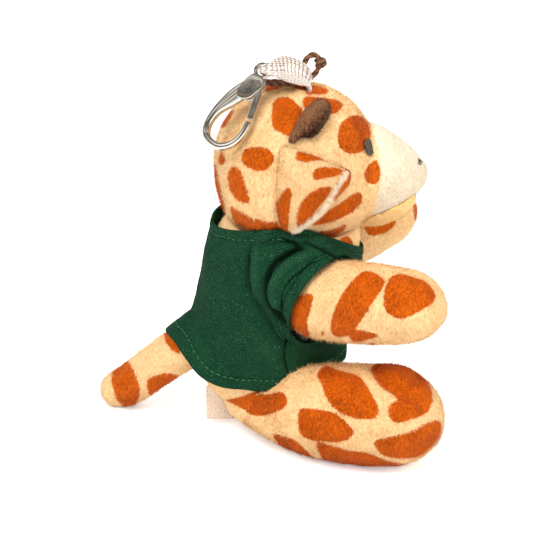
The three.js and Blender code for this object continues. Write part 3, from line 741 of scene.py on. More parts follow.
BAR_RADIUS = 5.6 * MM  # of the stuffing that rounds the folds between the seat and the legs
thigh = (under(243, 402, 6), under(278, 423, 8))
rump = (under(262, 398, 6), under(292, 410, 7))
bars = []
for ends in (thigh, rump):
    bars.append((*ends, BAR_RADIUS))
    bars.append((*[Vector(v) for v in mirrored_y(np.array(ends))], BAR_RADIUS))
seat = sewn(["torso", "leg_right", "leg_left"], 20, bars)
torso, leg_right, leg_left = (seat[name] for name in ("torso", "leg_right", "leg_left"))
DEEP_CREASES = [[(370, 366), (380, 376), (391, 386), (401, 393)], [(402, 394), (390, 401), (386, 414)]]
FINE_CREASES = [[(402, 394), (416, 398), (424, 408)], [(400, 392), (412, 384), (420, 376)]]
groove(leg_right, DEEP_CREASES, 1.7, 2.4)
groove(leg_right, FINE_CREASES, 1.1, 1.8)
groove(head, [SEAM, [(276, 90), (283, 87), (291, 88)]])
jaw = stuffed("jaw_plush", "jaw", soften=8)
arm_right = stuffed("arm_right_plush", "arm_right")
arm_left = stuffed("arm_left_plush", "arm_left")
tail = stuffed("tail_plush", "tail", 0.7)
horn_left = stuffed("horn_left_plush", "horn_left", 0.4, 5, 0.15)
head_tree, muzzle_tree = tree_of(head), tree_of(muzzle)


def flap(name, outline, middle, gap, thick, rows=16):
    """A puffed leaf over the head, with its outline as the photograph shows it. Gap and thick are in millimetres."""
    edge = spline(outline, 110, looped=True)[:-1]
    middle = np.array(middle, float)
    front, rear = [], []
    for share in np.linspace(1, 0.06, rows):
        puff = math.sqrt(1 - share**2)
        ring = middle + (edge - middle) * share
        for rows_of, swollen in ((front, 1), (rear, -0.35)):
            rows_of.append([cast(x, y, [head_tree], gap(x, y) + swollen * thick(x, y) * puff) for x, y in ring])
    return outward(loft(name, rear[::-1] + front[1:]))


def reflected(name, obj):
    """The same piece on the left side of the head."""
    mesh = obj.data.copy()
    move(mesh, mirrored_y(coords(mesh)))
    mesh.flip_normals()
    return link(name, mesh)


EAR = [
    (281, 149), (290, 147), (300, 150), (315, 156.5), (330, 163), (341, 167.5), (346.5, 171), (345, 176),
    (338, 185), (331, 198), (319, 214), (301, 228), (290, 233), (283, 230), (278, 216), (276.5, 190),
    (278, 165),
]
LINING = [
    (322, 163), (341, 167), (349, 170), (351.5, 175), (350, 182), (344, 190), (337, 199), (330, 208),
    (321, 217), (308, 224), (300, 218), (308, 200), (315, 180),
]
LINING_PATCH = [[(342, 165), (352, 169), (353, 181), (344, 191), (334, 201), (331, 196), (340, 184)]]
HORN = [
    (290, 142), (290.5, 137), (295, 128), (301.5, 116.5), (307.5, 108), (315, 102), (322, 99.5), (327.5, 103),
    (330, 108.5), (328.5, 117), (323.5, 125.5), (317, 133.5), (309.5, 138), (302, 137.5), (297, 139.8), (293.5, 142.2),
]
ear_right = flap(
    "ear_right_plush",
    EAR,
    (303, 188),
    lambda x, y: 0.5 + 2.6 * max(0, (x - 280) / 68) ** 1.2,
    lambda x, y: 3.4 - 1.6 * max(0, (x - 280) / 68),
)
lining_right = flap(
    "ear_right_lining",
    LINING,
    (328, 188),
    lambda x, y: 0.3 + 1.7 * max(0, (x - 290) / 60),
    lambda x, y: 0.9,
    10,
)
horn_right = flap(
    "horn_right_plush",
    HORN,
    (311, 120),
    lambda x, y: 0.4 + 2.4 * max(0, (x - 289) / 42),
    lambda x, y: 2.6,
)
patch(ear_right, EAR_PATCHES)
patch(lining_right, LINING_PATCH)
ear_left = reflected("ear_left_plush", ear_right)
lining_left = reflected("ear_left_lining", lining_right)

patch(head, HEAD_PATCHES, mirror=True)
patch(torso, SEAT_PATCHES, way=(0, 0, 1), seed=5)
patch(leg_right, LEG_PATCHES, way=(1, -0.6, 0), seed=11)
patch(leg_left, [], way=(0.6, 1, 0), seed=12, spacing=14, shown_from=999)
patch(arm_right, ARM_PATCHES, way=(0.7, -0.6, 0.3), seed=13)
patch(arm_left, FAR_ARM_PATCHES, way=(1, 0, 0.3), spacing=13, seed=14, shown_from=362)
patch(tail, TAIL_PATCHES, way=(0, 0.4, 1), seed=15)

PLUSH = {
    # piece: object, node, body, material, blades, their length in millimetres, grain
    "head": (head, "head", "body", cream, 71400, 1.09, (-0.5, 0, -1)),
    "torso": (torso, "torso", "body", cream, 15300, 1.03, (0, 0, -1)),
    "muzzle": (muzzle, "muzzle", "body", face, 23800, 0.57, (0.4, 0, -1)),
    "jaw": (jaw, "jaw", "body", jaw_plush, 5950, 0.8, (0.4, 0, -1)),
    "leg_right": (leg_right, "leg_right", "body", cream, 57800, 1.09, (1, -0.7, -0.4)),
    "leg_left": (leg_left, "leg_left", "body", cream, 44200, 1.09, (0.6, 1, -0.4)),
    "arm_right": (arm_right, "arm_right", "right_arm", cream, 37400, 1.09, (0.7, -0.6, -0.5)),
    "arm_left": (arm_left, "arm_left", "left_arm", cream, 23800, 1.09, (0.9, 0, -0.5)),
    "tail": (tail, "tail", "body", cream, 20400, 1.03, (-1, 0.4, -0.6)),
    "ear_right": (ear_right, "ear_right", "right_ear", cream, 20400, 0.92, (1, 0, -0.5)),
    "ear_left": (ear_left, "ear_left", "left_ear", cream, 13600, 0.92, (1, 0, -0.5)),
    "ear_right_lining": (lining_right, None, "right_ear", cream, 5950, 0.69, (1, 0, -0.5)),
    "ear_left_lining": (lining_left, None, "left_ear", cream, 4250, 0.69, (1, 0, -0.5)),
    "horn_right": (horn_right, "horn_right", "body", brown, 10200, 0.92, (0.7, 0, 0.7)),
    "horn_left": (horn_left, "horn_left", "body", brown, 6800, 0.92, (0.7, 0, 0.7)),
}
for seed, (name, (obj, node, body, material, count, long, grain)) in enumerate(PLUSH.items()):
    points = coords(obj.data)
    fine = 0 if "horn" in name or "ear" in name else 0.05
    swell(obj.data, (hilly(points, 5, seed) * 0.25 + hilly(points, 1.3, seed) * fine) * MM)
    tone = np.zeros(len(points))
    # On a horn the tone is painted shade: lighter on its upper left side, where the light falls, and darker towards
    # its lower right.
    if "horn" in name:
        flat = seen(points if name == "horn_right" else mirrored_y(points))
        aside = (flat - (309, 121)) @ np.array([0.77, 0.64])
        tone = 0.3 - 1.0 * np.clip((aside + 3.5) / 12, 0, 1)
    attribute(obj.data, "tone", tone)
    if name == "muzzle":
        near = points.copy()
        near[:, 1] = np.where(near[:, 1] > origin.y, mirrored_y(points)[:, 1], points[:, 1])
        attribute(obj.data, "pale", -within(seen(near), grown(FACE_REST)) * PIXEL)
        attribute(obj.data, "patch", patches(near, HEAD_PATCHES))
    obj.data.materials.append(material)
    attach(obj, body)
    if node:
        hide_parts(node)
    varied = 0.4 if "horn" in name else 0.13
    fibres(obj, count, long, f"{name}_pile", material, grain, seed + 1, body, varied)


# Shirt
TORSO_GIRTH = [0.84, 0.95, 0.97, 0.99, 1, 1, 1]


def torso_point(z, around, out):
    share = (z - 3.5) / 69.5
    girth = value_at(TORSO_GIRTH, share)
    middle = -1.2 + 8.4 * np.minimum(share / 0.91, 1)
    x = middle + (22.75 * girth + out) * np.cos(around)
    y = (20 * girth + out) * np.sin(around)
    return np.stack([x, y, z * np.ones_like(x)], -1)


def hem_height(around):
    rise = 9.5 * np.maximum(0, -np.cos(around)) ** 6 + 3 * (1 + np.cos(around))
    return 20 + rise - 3 * np.sin(around) ** 2


def collar_height(around):
    return 67.5 + 3.5 * np.sin(around) ** 2 - 9 * np.maximum(0, np.cos(around))


def shirt_long(around):
    return collar_height(around) - hem_height(around)


def cloth_point(share, around, out):
    """A place on the shirt, from its hem at 0 to its collar at 1, in millimetres from the drawing's origin."""
    z = hem_height(around) + shirt_long(around) * share
    fold = 0.8 * np.sin(7 * around + 2 * share) * (1 - share) ** 2
    flare = 8 * np.maximum(0, -np.cos(around)) ** 3 * (1 - share) ** 5
    tuck = 1.2 * np.maximum(0, 4 * share - 3)
    return torso_point(z, around, out + 0.8 + fold + flare - tuck)


def placed(points):
    return np.asarray(points) * MM + np.array(origin)


SEAM_WIDTH = 0.8  # a fold this narrow is a sewn seam


def folds(obj, lines):
    """Presses creases and ridges into cloth: each is a line in the photograph's frame, a height and a width."""
    mesh = obj.data
    co, no = coords(mesh), normals(mesh)
    facing = (no * (np.array(eye_place) - co)).sum(1) > 0
    near, far = seen(co), seen(mirrored_y(co))
    total, seams = np.zeros(len(co)), np.zeros(len(co))
    for line, high, wide in lines:
        smooth = spline(line, 24)
        away = np.where(facing, to_line(near, smooth), to_line(far, smooth)) * PIXEL
        total += high * np.exp(-((away / wide) ** 2))
        if wide <= SEAM_WIDTH:
            seams += np.exp(-((away / 0.38) ** 2))
    swell(mesh, total * MM)
    # The fold heights are kept for painted shade and light on the knit: creases and sewn seams are painted darker and
    # ridges lighter.
    attribute(mesh, "fold", total - 1.3 * seams)


ARMHOLE = [(258, 229), (252, 240), (249, 261), (252, 283), (262, 302), (276, 318), (288, 336)]
SIDE_SEAM = [(289, 336), (285, 347), (284, 357), (287, 370), (289, 388)]
CUFF_SEAM = [(332, 256), (318, 261), (305, 268), (291, 279), (284, 290), (281, 303), (284, 319), (292, 336)]
BODY_FOLDS = [
    (SIDE_SEAM, -0.7, 0.7),
    ([(294, 341), (296, 352), (294, 366), (297, 380)], 0.45, 1.1),
    ([(279, 345), (277, 358), (281, 374)], 0.3, 1.2),
    (ARMHOLE, -0.5, 0.8),
    ([(246, 262), (250, 290), (266, 318), (279, 340)], -0.7, 2.6),
    ([(238, 250), (236, 285), (250, 320), (270, 348)], 0.45, 3),
    ([(212, 300), (236, 330), (268, 356)], 0.4, 4),
    ([(196, 318), (214, 352), (240, 372)], -0.45, 3),
    ([(303, 345), (315, 350), (330, 345)], 0.5, 1.6),
    ([(304, 360), (318, 362), (333, 354)], -0.35, 1.4),
    ([(216, 226), (222, 240), (222, 262)], -0.3, 2),
]
SLEEVE_FOLDS = [
    ([(296, 251), (282, 258), (271, 269), (265, 283), (265, 299), (272, 311), (284, 322)], -2.0, 1.2),
    ([(266, 239), (258, 252), (256, 272), (260, 292), (270, 309)], 0.8, 1.5),
    ([(304, 256), (290, 263), (279, 274), (273, 290), (276, 304)], 0.9, 1.5),
    (CUFF_SEAM, -0.45, 0.5),
    ([(264, 232), (281, 229), (301, 232), (322, 241)], 0.7, 1.2),
    ([(262, 245), (277, 240), (293, 242), (302, 250)], -1.4, 1.1),
    ([(306, 242), (320, 248), (338, 258)], -1.0, 0.9),
    ([(276, 291), (281, 303), (287, 312)], -0.4, 1.0),
]


def shoulder_frame(hand):
    """An arm's shoulder, the way it points, its rise and the way across it."""
    sign, side, turn, rise = {"right": (-1, 13, 42, 8), "left": (1, 16.5, 6, 19)}[hand]
    turn, rise = math.radians(turn), math.radians(rise)
    way = np.array([math.cos(turn) * math.cos(rise), sign * math.sin(turn) * math.cos(rise), math.sin(rise)])
    up = np.array([0, 0, 1.0]) - way * way[2]
    up /= np.linalg.norm(up)
    return np.array([3, sign * side, 46.5]), way, up, np.cross(way, up)


ARM_GIRTH = [1, 1.02, 1.06, 1.04, 0.94, 0.82]  # along the arm, as shares of its radius
ARM_LONG, ARM_RADIUS = 54, 11.25  # millimetres
SLEEVE_LONG, SLEEVE_SLANT = 15, 5.5  # its length, and how much longer it is on top and shorter below
TUCKED = -0.06  # the share of the sleeve that lies inside the shirt


def sleeve_radius(along, share):
    """The sleeve's own radius, which the arm's girth and its ease give."""
    ease = 5.2 - 4 * np.minimum(share * 1.2, 1)
    return ARM_RADIUS * value_at(ARM_GIRTH, along / ARM_LONG) + ease


def sleeve_point(hand, share, around):
    """A place on a sleeve, from the shoulder at 0 to its cuff at 1, in millimetres from the drawing's origin."""
    middle, way, up, across = shoulder_frame(hand)
    reach = SLEEVE_LONG * share + SLEEVE_SLANT * share * np.cos(around)
    reach = np.clip(reach - 4.2 * share * np.maximum(0, np.sin(around)) ** 1.5, 0, ARM_LONG)
    radius = sleeve_radius(reach, share) + 0.6
    return (
        middle
        + np.multiply.outer(reach, way)
        + np.multiply.outer(radius * np.cos(around) + 5 * (1 - share), up)
        + np.multiply.outer(radius * np.sin(around), across)
    )


# Where the right sleeve is sewn to the shirt, in the photograph's frame; its front lies hidden behind the arm.
ARMHOLE_RING = [
    (258, 233), (252, 241), (249, 261), (252, 283), (262, 302), (276, 318), (289, 335), (305, 340),
    (325, 332), (342, 312), (349, 288), (348, 268), (340, 253), (322, 243), (298, 237), (275, 232),
]
armhole = spline(ARMHOLE_RING, 90, looped=True)[:-1]


def sleeve_rings(hand, rows, sides, tree):
    """A sleeve's rows of places, from its root on the shirt to its cuff, in the frame."""
    around = np.linspace(-np.pi, np.pi, sides, endpoint=False)
    root = np.array([(np.array(cast(px, py, [tree])) - np.array(origin)) / MM for px, py in armhole])
    if hand == "left":
        root[:, 1] *= -1
    _, _, up, across = shoulder_frame(hand)
    rel = root - root.mean(0)
    turn = np.arctan2(rel @ across, rel @ up)
    order = np.argsort(turn)
    turn, root = turn[order], root[order]
    turn = np.concatenate([turn[-3:] - 2 * np.pi, turn, turn[:3] + 2 * np.pi])
    root = np.vstack([root[-3:], root, root[:3]])
    start = np.stack([np.interp(around, turn, root[:, k]) for k in range(3)], 1)
    for _ in range(6):
        start = (np.roll(start, 1, 0) + 2 * start + np.roll(start, -1, 0)) / 4
    cuff = sleeve_point(hand, 1.0, around)
    out = np.multiply.outer(np.cos(around), up) + np.multiply.outer(np.sin(around), across)
    rings = []
    for share in np.linspace(TUCKED, 1, rows):
        loose = 1.7 * math.sin(math.pi * min(max(share, 0), 1)) ** 0.8
        rings.append(start + (cuff - start) * share + out * loose)
    return np.array(rings), around


def in_sleeve(points, hand):
    """Whether each place, in millimetres from the drawing's origin, lies inside a sleeve's opening."""
    middle, way, up, across = shoulder_frame(hand)
    rel = points - middle
    along = rel @ way
    share = np.clip(along / SLEEVE_LONG, 0, 1)
    away = np.hypot(rel @ up - 5 * (1 - share), rel @ across)
    return (away < sleeve_radius(along, share)) & (along > -1)


def drop(obj, gone):
    """Takes away the faces whose corners are all marked."""
    work = bmesh.new()
    work.from_mesh(obj.data)
    marked = [f for f in work.faces if all(gone[v.index] for v in f.verts)]
    bmesh.ops.delete(work, geom=marked, context="FACES")
    bmesh.ops.delete(work, geom=[v for v in work.verts if not v.link_faces], context="VERTS")
    work.to_mesh(obj.data)
    work.free()
    obj.data.update()


def thicken(obj, thick):
    """Gives a sheet its thickness, half on each side, in millimetres."""
    thickness = obj.modifiers.new("thickness", "SOLIDIFY")
    thickness.thickness, thickness.offset = thick * MM, 0
    settle(obj)


def knitted(name):
    g = Graph(name)
    wale, course = g.value("wale"), g.value("course")
    lean = g.maths("ADD", wale, g.maths("MULTIPLY", course, 0.85))
    cross = g.maths("SUBTRACT", course, g.maths("MULTIPLY", wale, 0.5))
    rib, loop = (
        g.maths("MULTIPLY_ADD", g.maths("SINE", g.maths("MULTIPLY", way, 2 * math.pi / pitch)), 0.5, 0.5)
        for way, pitch in ((lean, 0.66), (cross, 0.62))
    )
    fleck = g.noise(0.5, 3, rough=0.7)
    broad = g.noise(9, 2)
    weave = g.maths("MULTIPLY_ADD", rib, 0.65, g.maths("MULTIPLY", loop, 0.35))
    worn = g.maths("MULTIPLY_ADD", fleck, 0.62, g.maths("MULTIPLY", weave, 0.42))
    color = g.mix(g.spread(worn, 0.3, 0.75), paint("#061c11"), paint("#194830"))
    # Lighter flecks scattered at random are painted glints on the knit's fibres.
    glint_flecks = g.maths("MULTIPLY", g.spread(fleck, 0.58, 0.7), 0.6)
    color = g.mix(glint_flecks, color, paint("#4c7c5a"))
    color = g.mix(g.spread(broad, 0.35, 0.75, 0, 0.35), color, paint("#1b4830"))
    # Painted shade in the cloth's creases and along its seams, and painted highlight on its ridges.
    fold = g.value("fold")
    color = g.mix(g.spread(fold, -1.3, -0.15, 0.82, 0), color, paint("#04120b"))
    color = g.mix(g.spread(fold, 0.2, 1.4, 0, 0.16), color, paint("#3a6449"))
    height = g.maths("ADD", weave, g.maths("MULTIPLY", fleck, 0.9))
    return g.finish(
        Base_Color=color,
        Roughness=0.95,
        Normal=g.bump(height, 0.16, 0.8),
        Specular_IOR_Level=0.12,
    )


knit = knitted("shirt_knit")
CLOTH = 0.9  # the cloth's thickness in millimetres
STITCH_RISE = 0.42  # how far a stitch stands over the cloth's middle
HEM, COLLAR, CUFF = 3.3, 2.8, 2.9  # how far in from each edge its seam runs
WIDE, TALL = 330, 110
around, share = np.meshgrid(np.linspace(0, 2 * np.pi, WIDE, endpoint=False), np.linspace(0, 1, TALL + 1))
points = cloth_point(share, around, 1.35)
shirt = loft("shirt_body_cloth", placed(points), caps=False)
attribute(shirt.data, "wale", (around * 22).ravel())
attribute(shirt.data, "course", points[..., 2].ravel())
over_hem = (shirt_long(around) * share).ravel()
under_collar = (shirt_long(around) * (1 - share)).ravel()
folds(shirt, BODY_FOLDS)


def turned_edge(far, doubled, seam, rise, deep):
    """The cloth is doubled near its edge and thicker there, and a seam draws it in."""
    return rise * (far < doubled) - deep * np.exp(-(((far - seam) / 0.35) ** 2))


band = turned_edge(over_hem, 3.1, HEM, 0.3, 0.35) + turned_edge(under_collar, 2.6, COLLAR, 0.3, 0.35)
wavy = hilly(coords(shirt.data), 9, 31) * 0.45 + hilly(coords(shirt.data), 3, 32) * 0.14
edge_wave = np.exp(-((over_hem / 4) ** 2)) * np.sin(around.ravel() * 19) * 0.25
swell(shirt.data, (band + wavy + edge_wave) * MM)


def in_ring(places, hand, spare):
    """Whether each place lies inside a sleeve's root ring as the photograph shows it."""
    places = places if hand == "right" else mirrored_y(places)
    return (places[:, 1] < origin.y) & (within(seen(places), armhole) * PIXEL > spare)


def lay_over(obj, under, gap, behind=1.0):
    """Moves what lies inside another piece, or nearer to it than the gap, out to the gap from its surface."""
    tree = tree_of(under)
    places = coords(obj.data)
    for i, point in enumerate(places):
        if point[0] < behind:
            place, normal, _, far = tree.find_nearest(Vector(point))
            if far < gap * MM or (Vector(point) - place).dot(normal) < 0:
                places[i] = place + normal * gap * MM
    move(obj.data, places)


# The cloth lies over the tail's root.
lay_over(shirt, tail, 0.9, origin.x - 12 * MM)
shirt_tree = tree_of(shirt)
shirt.data.materials.append(knit)
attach(shirt, "body")
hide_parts("shirt_body")


def capsules(name, pairs, radius, material, body="body"):
    """Short rounded threads from one place to another, as one mesh."""
    sides, verts, faces = 6, [], []
    for a, b in pairs:
        a, b = Vector(a), Vector(b)
        way = (b - a).normalized()
        aside = way.orthogonal().normalized()
        other = way.cross(aside)
        first = len(verts)
        for place, size in ((a - way * radius * 0.6, 0.4), (a, 1), (b, 1), (b + way * radius * 0.6, 0.4)):
            for k in range(sides):
                turn = 2 * math.pi * k / sides
                verts.append(place + (aside * math.cos(turn) + other * math.sin(turn)) * radius * size)
        for i in range(3):
            for k in range(sides):
                m = (k + 1) % sides
                row = first + i * sides
                faces.append((row + k, row + m, row + sides + m, row + sides + k))
        faces.append(tuple(range(first, first + sides))[::-1])
        faces.append(tuple(range(first + 3 * sides, first + 4 * sides)))
    obj = make(name, verts, faces)
    obj.data.materials.append(material)
    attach(obj, body)


def stitch_end(tree, point):
    """The nearest place on a cloth to a place given in millimetres, raised from it by a stitch's rise."""
    place, normal, _, _ = tree.find_nearest(Vector(placed(point)))
    return place + normal * STITCH_RISE * MM


def thread(name, color, worn):
    g = Graph(name)
    color = g.mix(g.noise(0.3, 2), paint(worn), paint(color))
    return g.finish(Base_Color=color, Roughness=0.85, Specular_IOR_Level=0.1)


STITCH_ROWS = {
    # row: its share of the shirt's height at an angle, stitches, the part of each that shows
    "hem": (lambda a: HEM / shirt_long(a), 84, 0.55),
    "collar": (lambda a: 1 - COLLAR / shirt_long(a), 70, 0.5),
}
green_thread = thread("green_thread", "#5b8a66", "#2c5c3d")
for name, (row, count, shown) in STITCH_ROWS.items():
    pairs = []
    for k in range(count):
        ends = []
        for part in (k, k + shown):
            a = np.array(2 * np.pi * part / count)
            ends.append(cloth_point(row(a), a, 1.75))
        if not any(in_sleeve(e[None], hand).any() for e in ends for hand in ("right", "left")):
            pairs.append([stitch_end(shirt_tree, e) for e in ends])
    capsules(f"{name}_stitches", pairs, 0.13 * MM, green_thread)

SLEEVE_ROWS, SLEEVE_SIDES, CUFF_STITCHES = 86, 230, 46
gone = np.zeros(len(coords(shirt.data)), bool)  # what each sleeve hides of the shirt's body
for hand in ("right", "left"):
    points, around = sleeve_rings(hand, SLEEVE_ROWS, SLEEVE_SIDES, shirt_tree)
    around, share = np.meshgrid(around, np.linspace(TUCKED, 1, SLEEVE_ROWS))
    sleeve = outward(loft(f"sleeve_{hand}_cloth", placed(points), caps=False))
    middle, way, _, _ = shoulder_frame(hand)
    if (normals(sleeve.data) * (coords(sleeve.data) - placed(middle + way * 8))).sum() < 0:
        sleeve.data.flip_normals()
    attribute(sleeve.data, "wale", (around * 12.5).ravel())
    attribute(sleeve.data, "course", (share * 17 + 3 * np.sin(around)).ravel())
    folds(sleeve, [(line, high * 1.35, wide) for line, high, wide in SLEEVE_FOLDS])
    from_cuff = ((1 - share) * (SLEEVE_LONG + SLEEVE_SLANT * np.cos(around))).ravel()
    band = turned_edge(from_cuff, 2.6, CUFF, 0.25, 0.4)
    band -= 0.6 * np.exp(-(((share.ravel() - 0.04) / 0.035) ** 2))
    wavy = hilly(coords(sleeve.data), 7, 41) * 0.45 + hilly(coords(sleeve.data), 2.6, 42) * 0.14
    swell(sleeve.data, (band + wavy) * MM)
    lay_over(sleeve, {"right": arm_right, "left": arm_left}[hand], 1.0)
    sleeve_tree = tree_of(sleeve)
    cloth = coords(shirt.data)
    for i in np.flatnonzero(in_ring(cloth, hand, 0.9)):
        place, normal, _, _ = sleeve_tree.find_nearest(Vector(cloth[i]))
        away = Vector(cloth[i]) - place
        gone[i] |= away.dot(normal) < -1.0 * MM and away.cross(normal).length < 0.2 * MM
    # What lies well inside the shirt's body isn't sewn there, so it goes.
    flat = coords(sleeve.data)
    hidden = np.zeros(len(flat), bool)
    for i, point in enumerate(flat):
        place, normal, _, far = shirt_tree.find_nearest(Vector(point))
        hidden[i] = far > 1.4 * MM and (Vector(point) - place).dot(normal) < 0
    hidden &= ~in_ring(flat, hand, 0.3)
    drop(sleeve, hidden)
    thicken(sleeve, CLOTH)
    sleeve.data.materials.append(knit)
    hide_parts(f"sleeve_{hand}")
    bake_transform(sleeve)
    pairs = []
    for k in range(CUFF_STITCHES):
        ends = []
        for part in (k, k + 0.55):
            a = np.array(2 * np.pi * part / CUFF_STITCHES)
            reach = 1 - CUFF / (SLEEVE_LONG + SLEEVE_SLANT * np.cos(a))
            ends.append(stitch_end(sleeve_tree, sleeve_point(hand, reach, a)))
        place, normal, _, _ = shirt_tree.find_nearest(ends[0])
        if (ends[0] - place).dot(normal) > 0:
            pairs.append(ends)
    cuff_thread = thread(f"cuff_{hand}_thread", "#2b5a3c", "#123a24")
    capsules(f"cuff_{hand}_stitches", pairs, 0.12 * MM, cuff_thread, f"{hand}_arm")

drop(shirt, gone)
thicken(shirt, CLOTH)

# Eyes, nostrils and fringe
dark_thread = thread("dark_thread", "#4c4742", "#1d1917")
eye_highlight_thread = thread("eye_highlight_thread", "#8d8578", "#5b544a")
eye_thread = plush("eye_thread", "#8a7d6c", "#211a16", sheen=0)


def both_sides(name, pairs, radius, material):
    """Threads on the right side of the head and the same on its left."""
    turned = [[Vector(v) for v in mirrored_y(np.array([a, b]))] for a, b in pairs]
    capsules(name, pairs + turned, radius, material)


for hand in ("right", "left"):
    pad = stuffed(f"eye_{hand}_pad", f"eye_{hand}", 0.2, 4, -0.12)
    points = coords(pad.data)
    rear = points[:, 0].min()
    points[:, 0] = rear + (points[:, 0] - rear) * 0.7
    move(pad.data, points)
    flat = seen(points if hand == "right" else mirrored_y(points))
    # The pad's tone is a painted highlight: lighter towards its top and darker below.
    attribute(pad.data, "tone", np.clip((149 - flat[:, 1]) / 6, -0.4, 0.6))
    pad.data.materials.append(eye_thread)
    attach(pad, "body")
    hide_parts(f"eye_{hand}")


def stitches(lines, trees, lift):
    return [[cast(*a, trees, lift), cast(*b, trees, lift)] for a, b in lines]


EYE_X, EYE_Y = 369, 147.3  # in the photograph's frame
own = np.random.default_rng(5)
eye_lines = []
for k in range(15):
    x = 365.6 + k * 0.46
    half = 8.2 * math.sqrt(max(0, 1 - ((x - EYE_X) / 4) ** 2))
    shift = own.uniform(-0.8, 0.8)
    eye_lines.append([(x - 0.8, EYE_Y - half + shift), (x + 1.2, EYE_Y + half + shift)])
eye_pairs = stitches(eye_lines, (head_tree, muzzle_tree), 0.84)
both_sides("eye_stitches", eye_pairs[::2], 0.16 * MM, dark_thread)
# Every second stitch of the eye is laid in grey thread as a painted highlight.
both_sides("eye_highlights", eye_pairs[1::2], 0.13 * MM, eye_highlight_thread)
nostril = [
    [(418, 158.5), (421, 160.5)], [(422, 157), (423, 160)], [(420, 161), (418.5, 164)],
    [(421.5, 161.5), (420.5, 165)], [(419, 160), (422.5, 162)],
]
both_sides("nostril_stitches", stitches(nostril, [muzzle_tree], 0.45), 0.13 * MM, dark_thread)

FREE_EDGE = [(346.5, 171.5), (345, 176), (338, 185), (331, 198), (319, 214), (302, 227.5), (291, 232)]
FRINGE_COUNT, FRINGE_LONG = 2400, 1.3
ear_tree = tree_of(ear_right)
white_pile = plush("fringe_plush", "#fff3dd", "#ecd9bd")


def fringe(name, seed, body, mirror=False):
    """Loose white fibres along the cut edge of an ear's plush."""
    own = np.random.default_rng(seed)
    edge = spline(FREE_EDGE, 200)
    verts = []
    for _ in range(FRINGE_COUNT):
        k = own.integers(2, 198)
        along = edge[k + 1] - edge[k - 1]
        along /= np.linalg.norm(along)
        aside = np.array([-along[1], along[0]])
        inset = abs(own.normal(0, 1.5))
        for sign in (1, -1):
            spot = edge[k] + aside * sign * inset
            hit = ear_tree.ray_cast(eye_place, sight(*spot))
            if hit[0] is not None:
                break
        if hit[0] is None:
            continue
        place, normal = hit[0], hit[1]
        out = right * (-aside[0] * sign) - upward * (-aside[1] * sign)
        out = out * own.uniform(0.2, 1) + normal * own.uniform(0.3, 1) + Vector(own.normal(0, 0.4, 3))
        out.normalize()
        side = out.cross(normal).normalized() * 0.09 * MM
        tip = place + out * FRINGE_LONG * MM * own.uniform(0.5, 1.3)
        base = place - normal * 0.1 * MM
        verts += [base - side, base + side, tip]
    if mirror:
        verts = mirrored_y(np.array(verts))
    obj = make(name, verts, [(k, k + 1, k + 2) for k in range(0, len(verts), 3)], False)
    attribute(obj.data, "tone", np.zeros(len(verts)))
    obj.data.materials.append(white_pile)
    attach(obj, body)


fringe("ear_right_fringe", 3, "right_ear")
fringe("ear_left_fringe", 4, "left_ear", True)

# Clasp
out_way = Vector((-0.3765556, -0.8075262, 0.4539905))
rise_way = (Vector((0, 0, 1)) - out_way * out_way.z).normalized()
across_way = rise_way.cross(out_way)


def in_clasp(across, rise, out=0.0):
    """A place in the clasp's own plane, in millimetres from the middle of its eye."""
    return ring_middle + (across_way * across + rise_way * rise + out_way * out) * MM


CLASP_UNIT = 23  # of the outlines below, in millimetres


def swept(name, path, section, caps=True, looped=False):
    """A bar along a path in the clasp's plane; section gives its outline at a share of the way, across and out."""
    path = np.asarray(path)
    along = np.roll(path, -1, 0) - np.roll(path, 1, 0) if looped else np.gradient(path, axis=0)
    rings = []
    for k, (spot, way) in enumerate(zip(path, units(along))):
        aside = np.array([-way[1], way[0]])
        ring = []
        for a, o in section(k / (len(path) - 1)):
            place = spot + aside * a
            ring.append(in_clasp(place[0], place[1], o))
        rings.append(ring)
    return outward(loft(name, rings, caps, looped))


def metal(name, color, rough):
    g = Graph(name)
    return g.finish(
        Base_Color=paint(color),
        Metallic=1.0,
        Roughness=g.spread(g.noise(2.2, 4), 0.3, 0.7, rough, rough + 0.1),
        Normal=g.bump(g.noise(2.6, 2), 0.05, 0.3),
    )


nickel = metal("polished_nickel", "#d8d4cc", 0.1)
satin = metal("satin_nickel", "#c4beb4", 0.3)
HOOK = CLASP_UNIT * np.array(
    [[-0.085, -0.665], [-0.126, -0.783], [-0.197, -0.897], [-0.304, -0.979], [-0.432, -1.007],
     [-0.537, -0.965], [-0.609, -0.893], [-0.629, -0.803], [-0.605, -0.691], [-0.517, -0.543],
     [-0.382, -0.411], [-0.217, -0.259], [-0.12, -0.15], [-0.052, -0.072]]
)
HOOK_BAND = [0.95, 0.95, 0.95, 1, 1, 1, 1.05, 1.1, 1.25, 1.7, 2.1, 2.1, 1.5, 1]
SECTION = [
    (-1, 0.3), (-0.86, 0.66), (-0.6, 0.9), (-0.32, 1.0), (-0.12, 0.86), (0.12, 0.86), (0.32, 1.0), (0.6, 0.9),
    (0.86, 0.66), (1, 0.3), (1, -0.3), (0.84, -0.7), (0.5, -0.95), (0, -1), (-0.5, -0.95), (-0.84, -0.7),
    (-1, -0.3),
]
smooth_section = spline(SECTION, 56, looped=True)[:-1]


def round_ends(share, first, steep, last):
    """How much a bar's section shrinks towards its two ends."""
    return min(1, (first + share * steep) ** 0.5) * min(1, (last + (1 - share) * 60) ** 0.5)


def hook_section(share):
    wide = 1.1 * value_at(HOOK_BAND, share)
    return smooth_section * np.array([wide, 1.6]) * round_ends(share, 0.25, 60, 0.2)


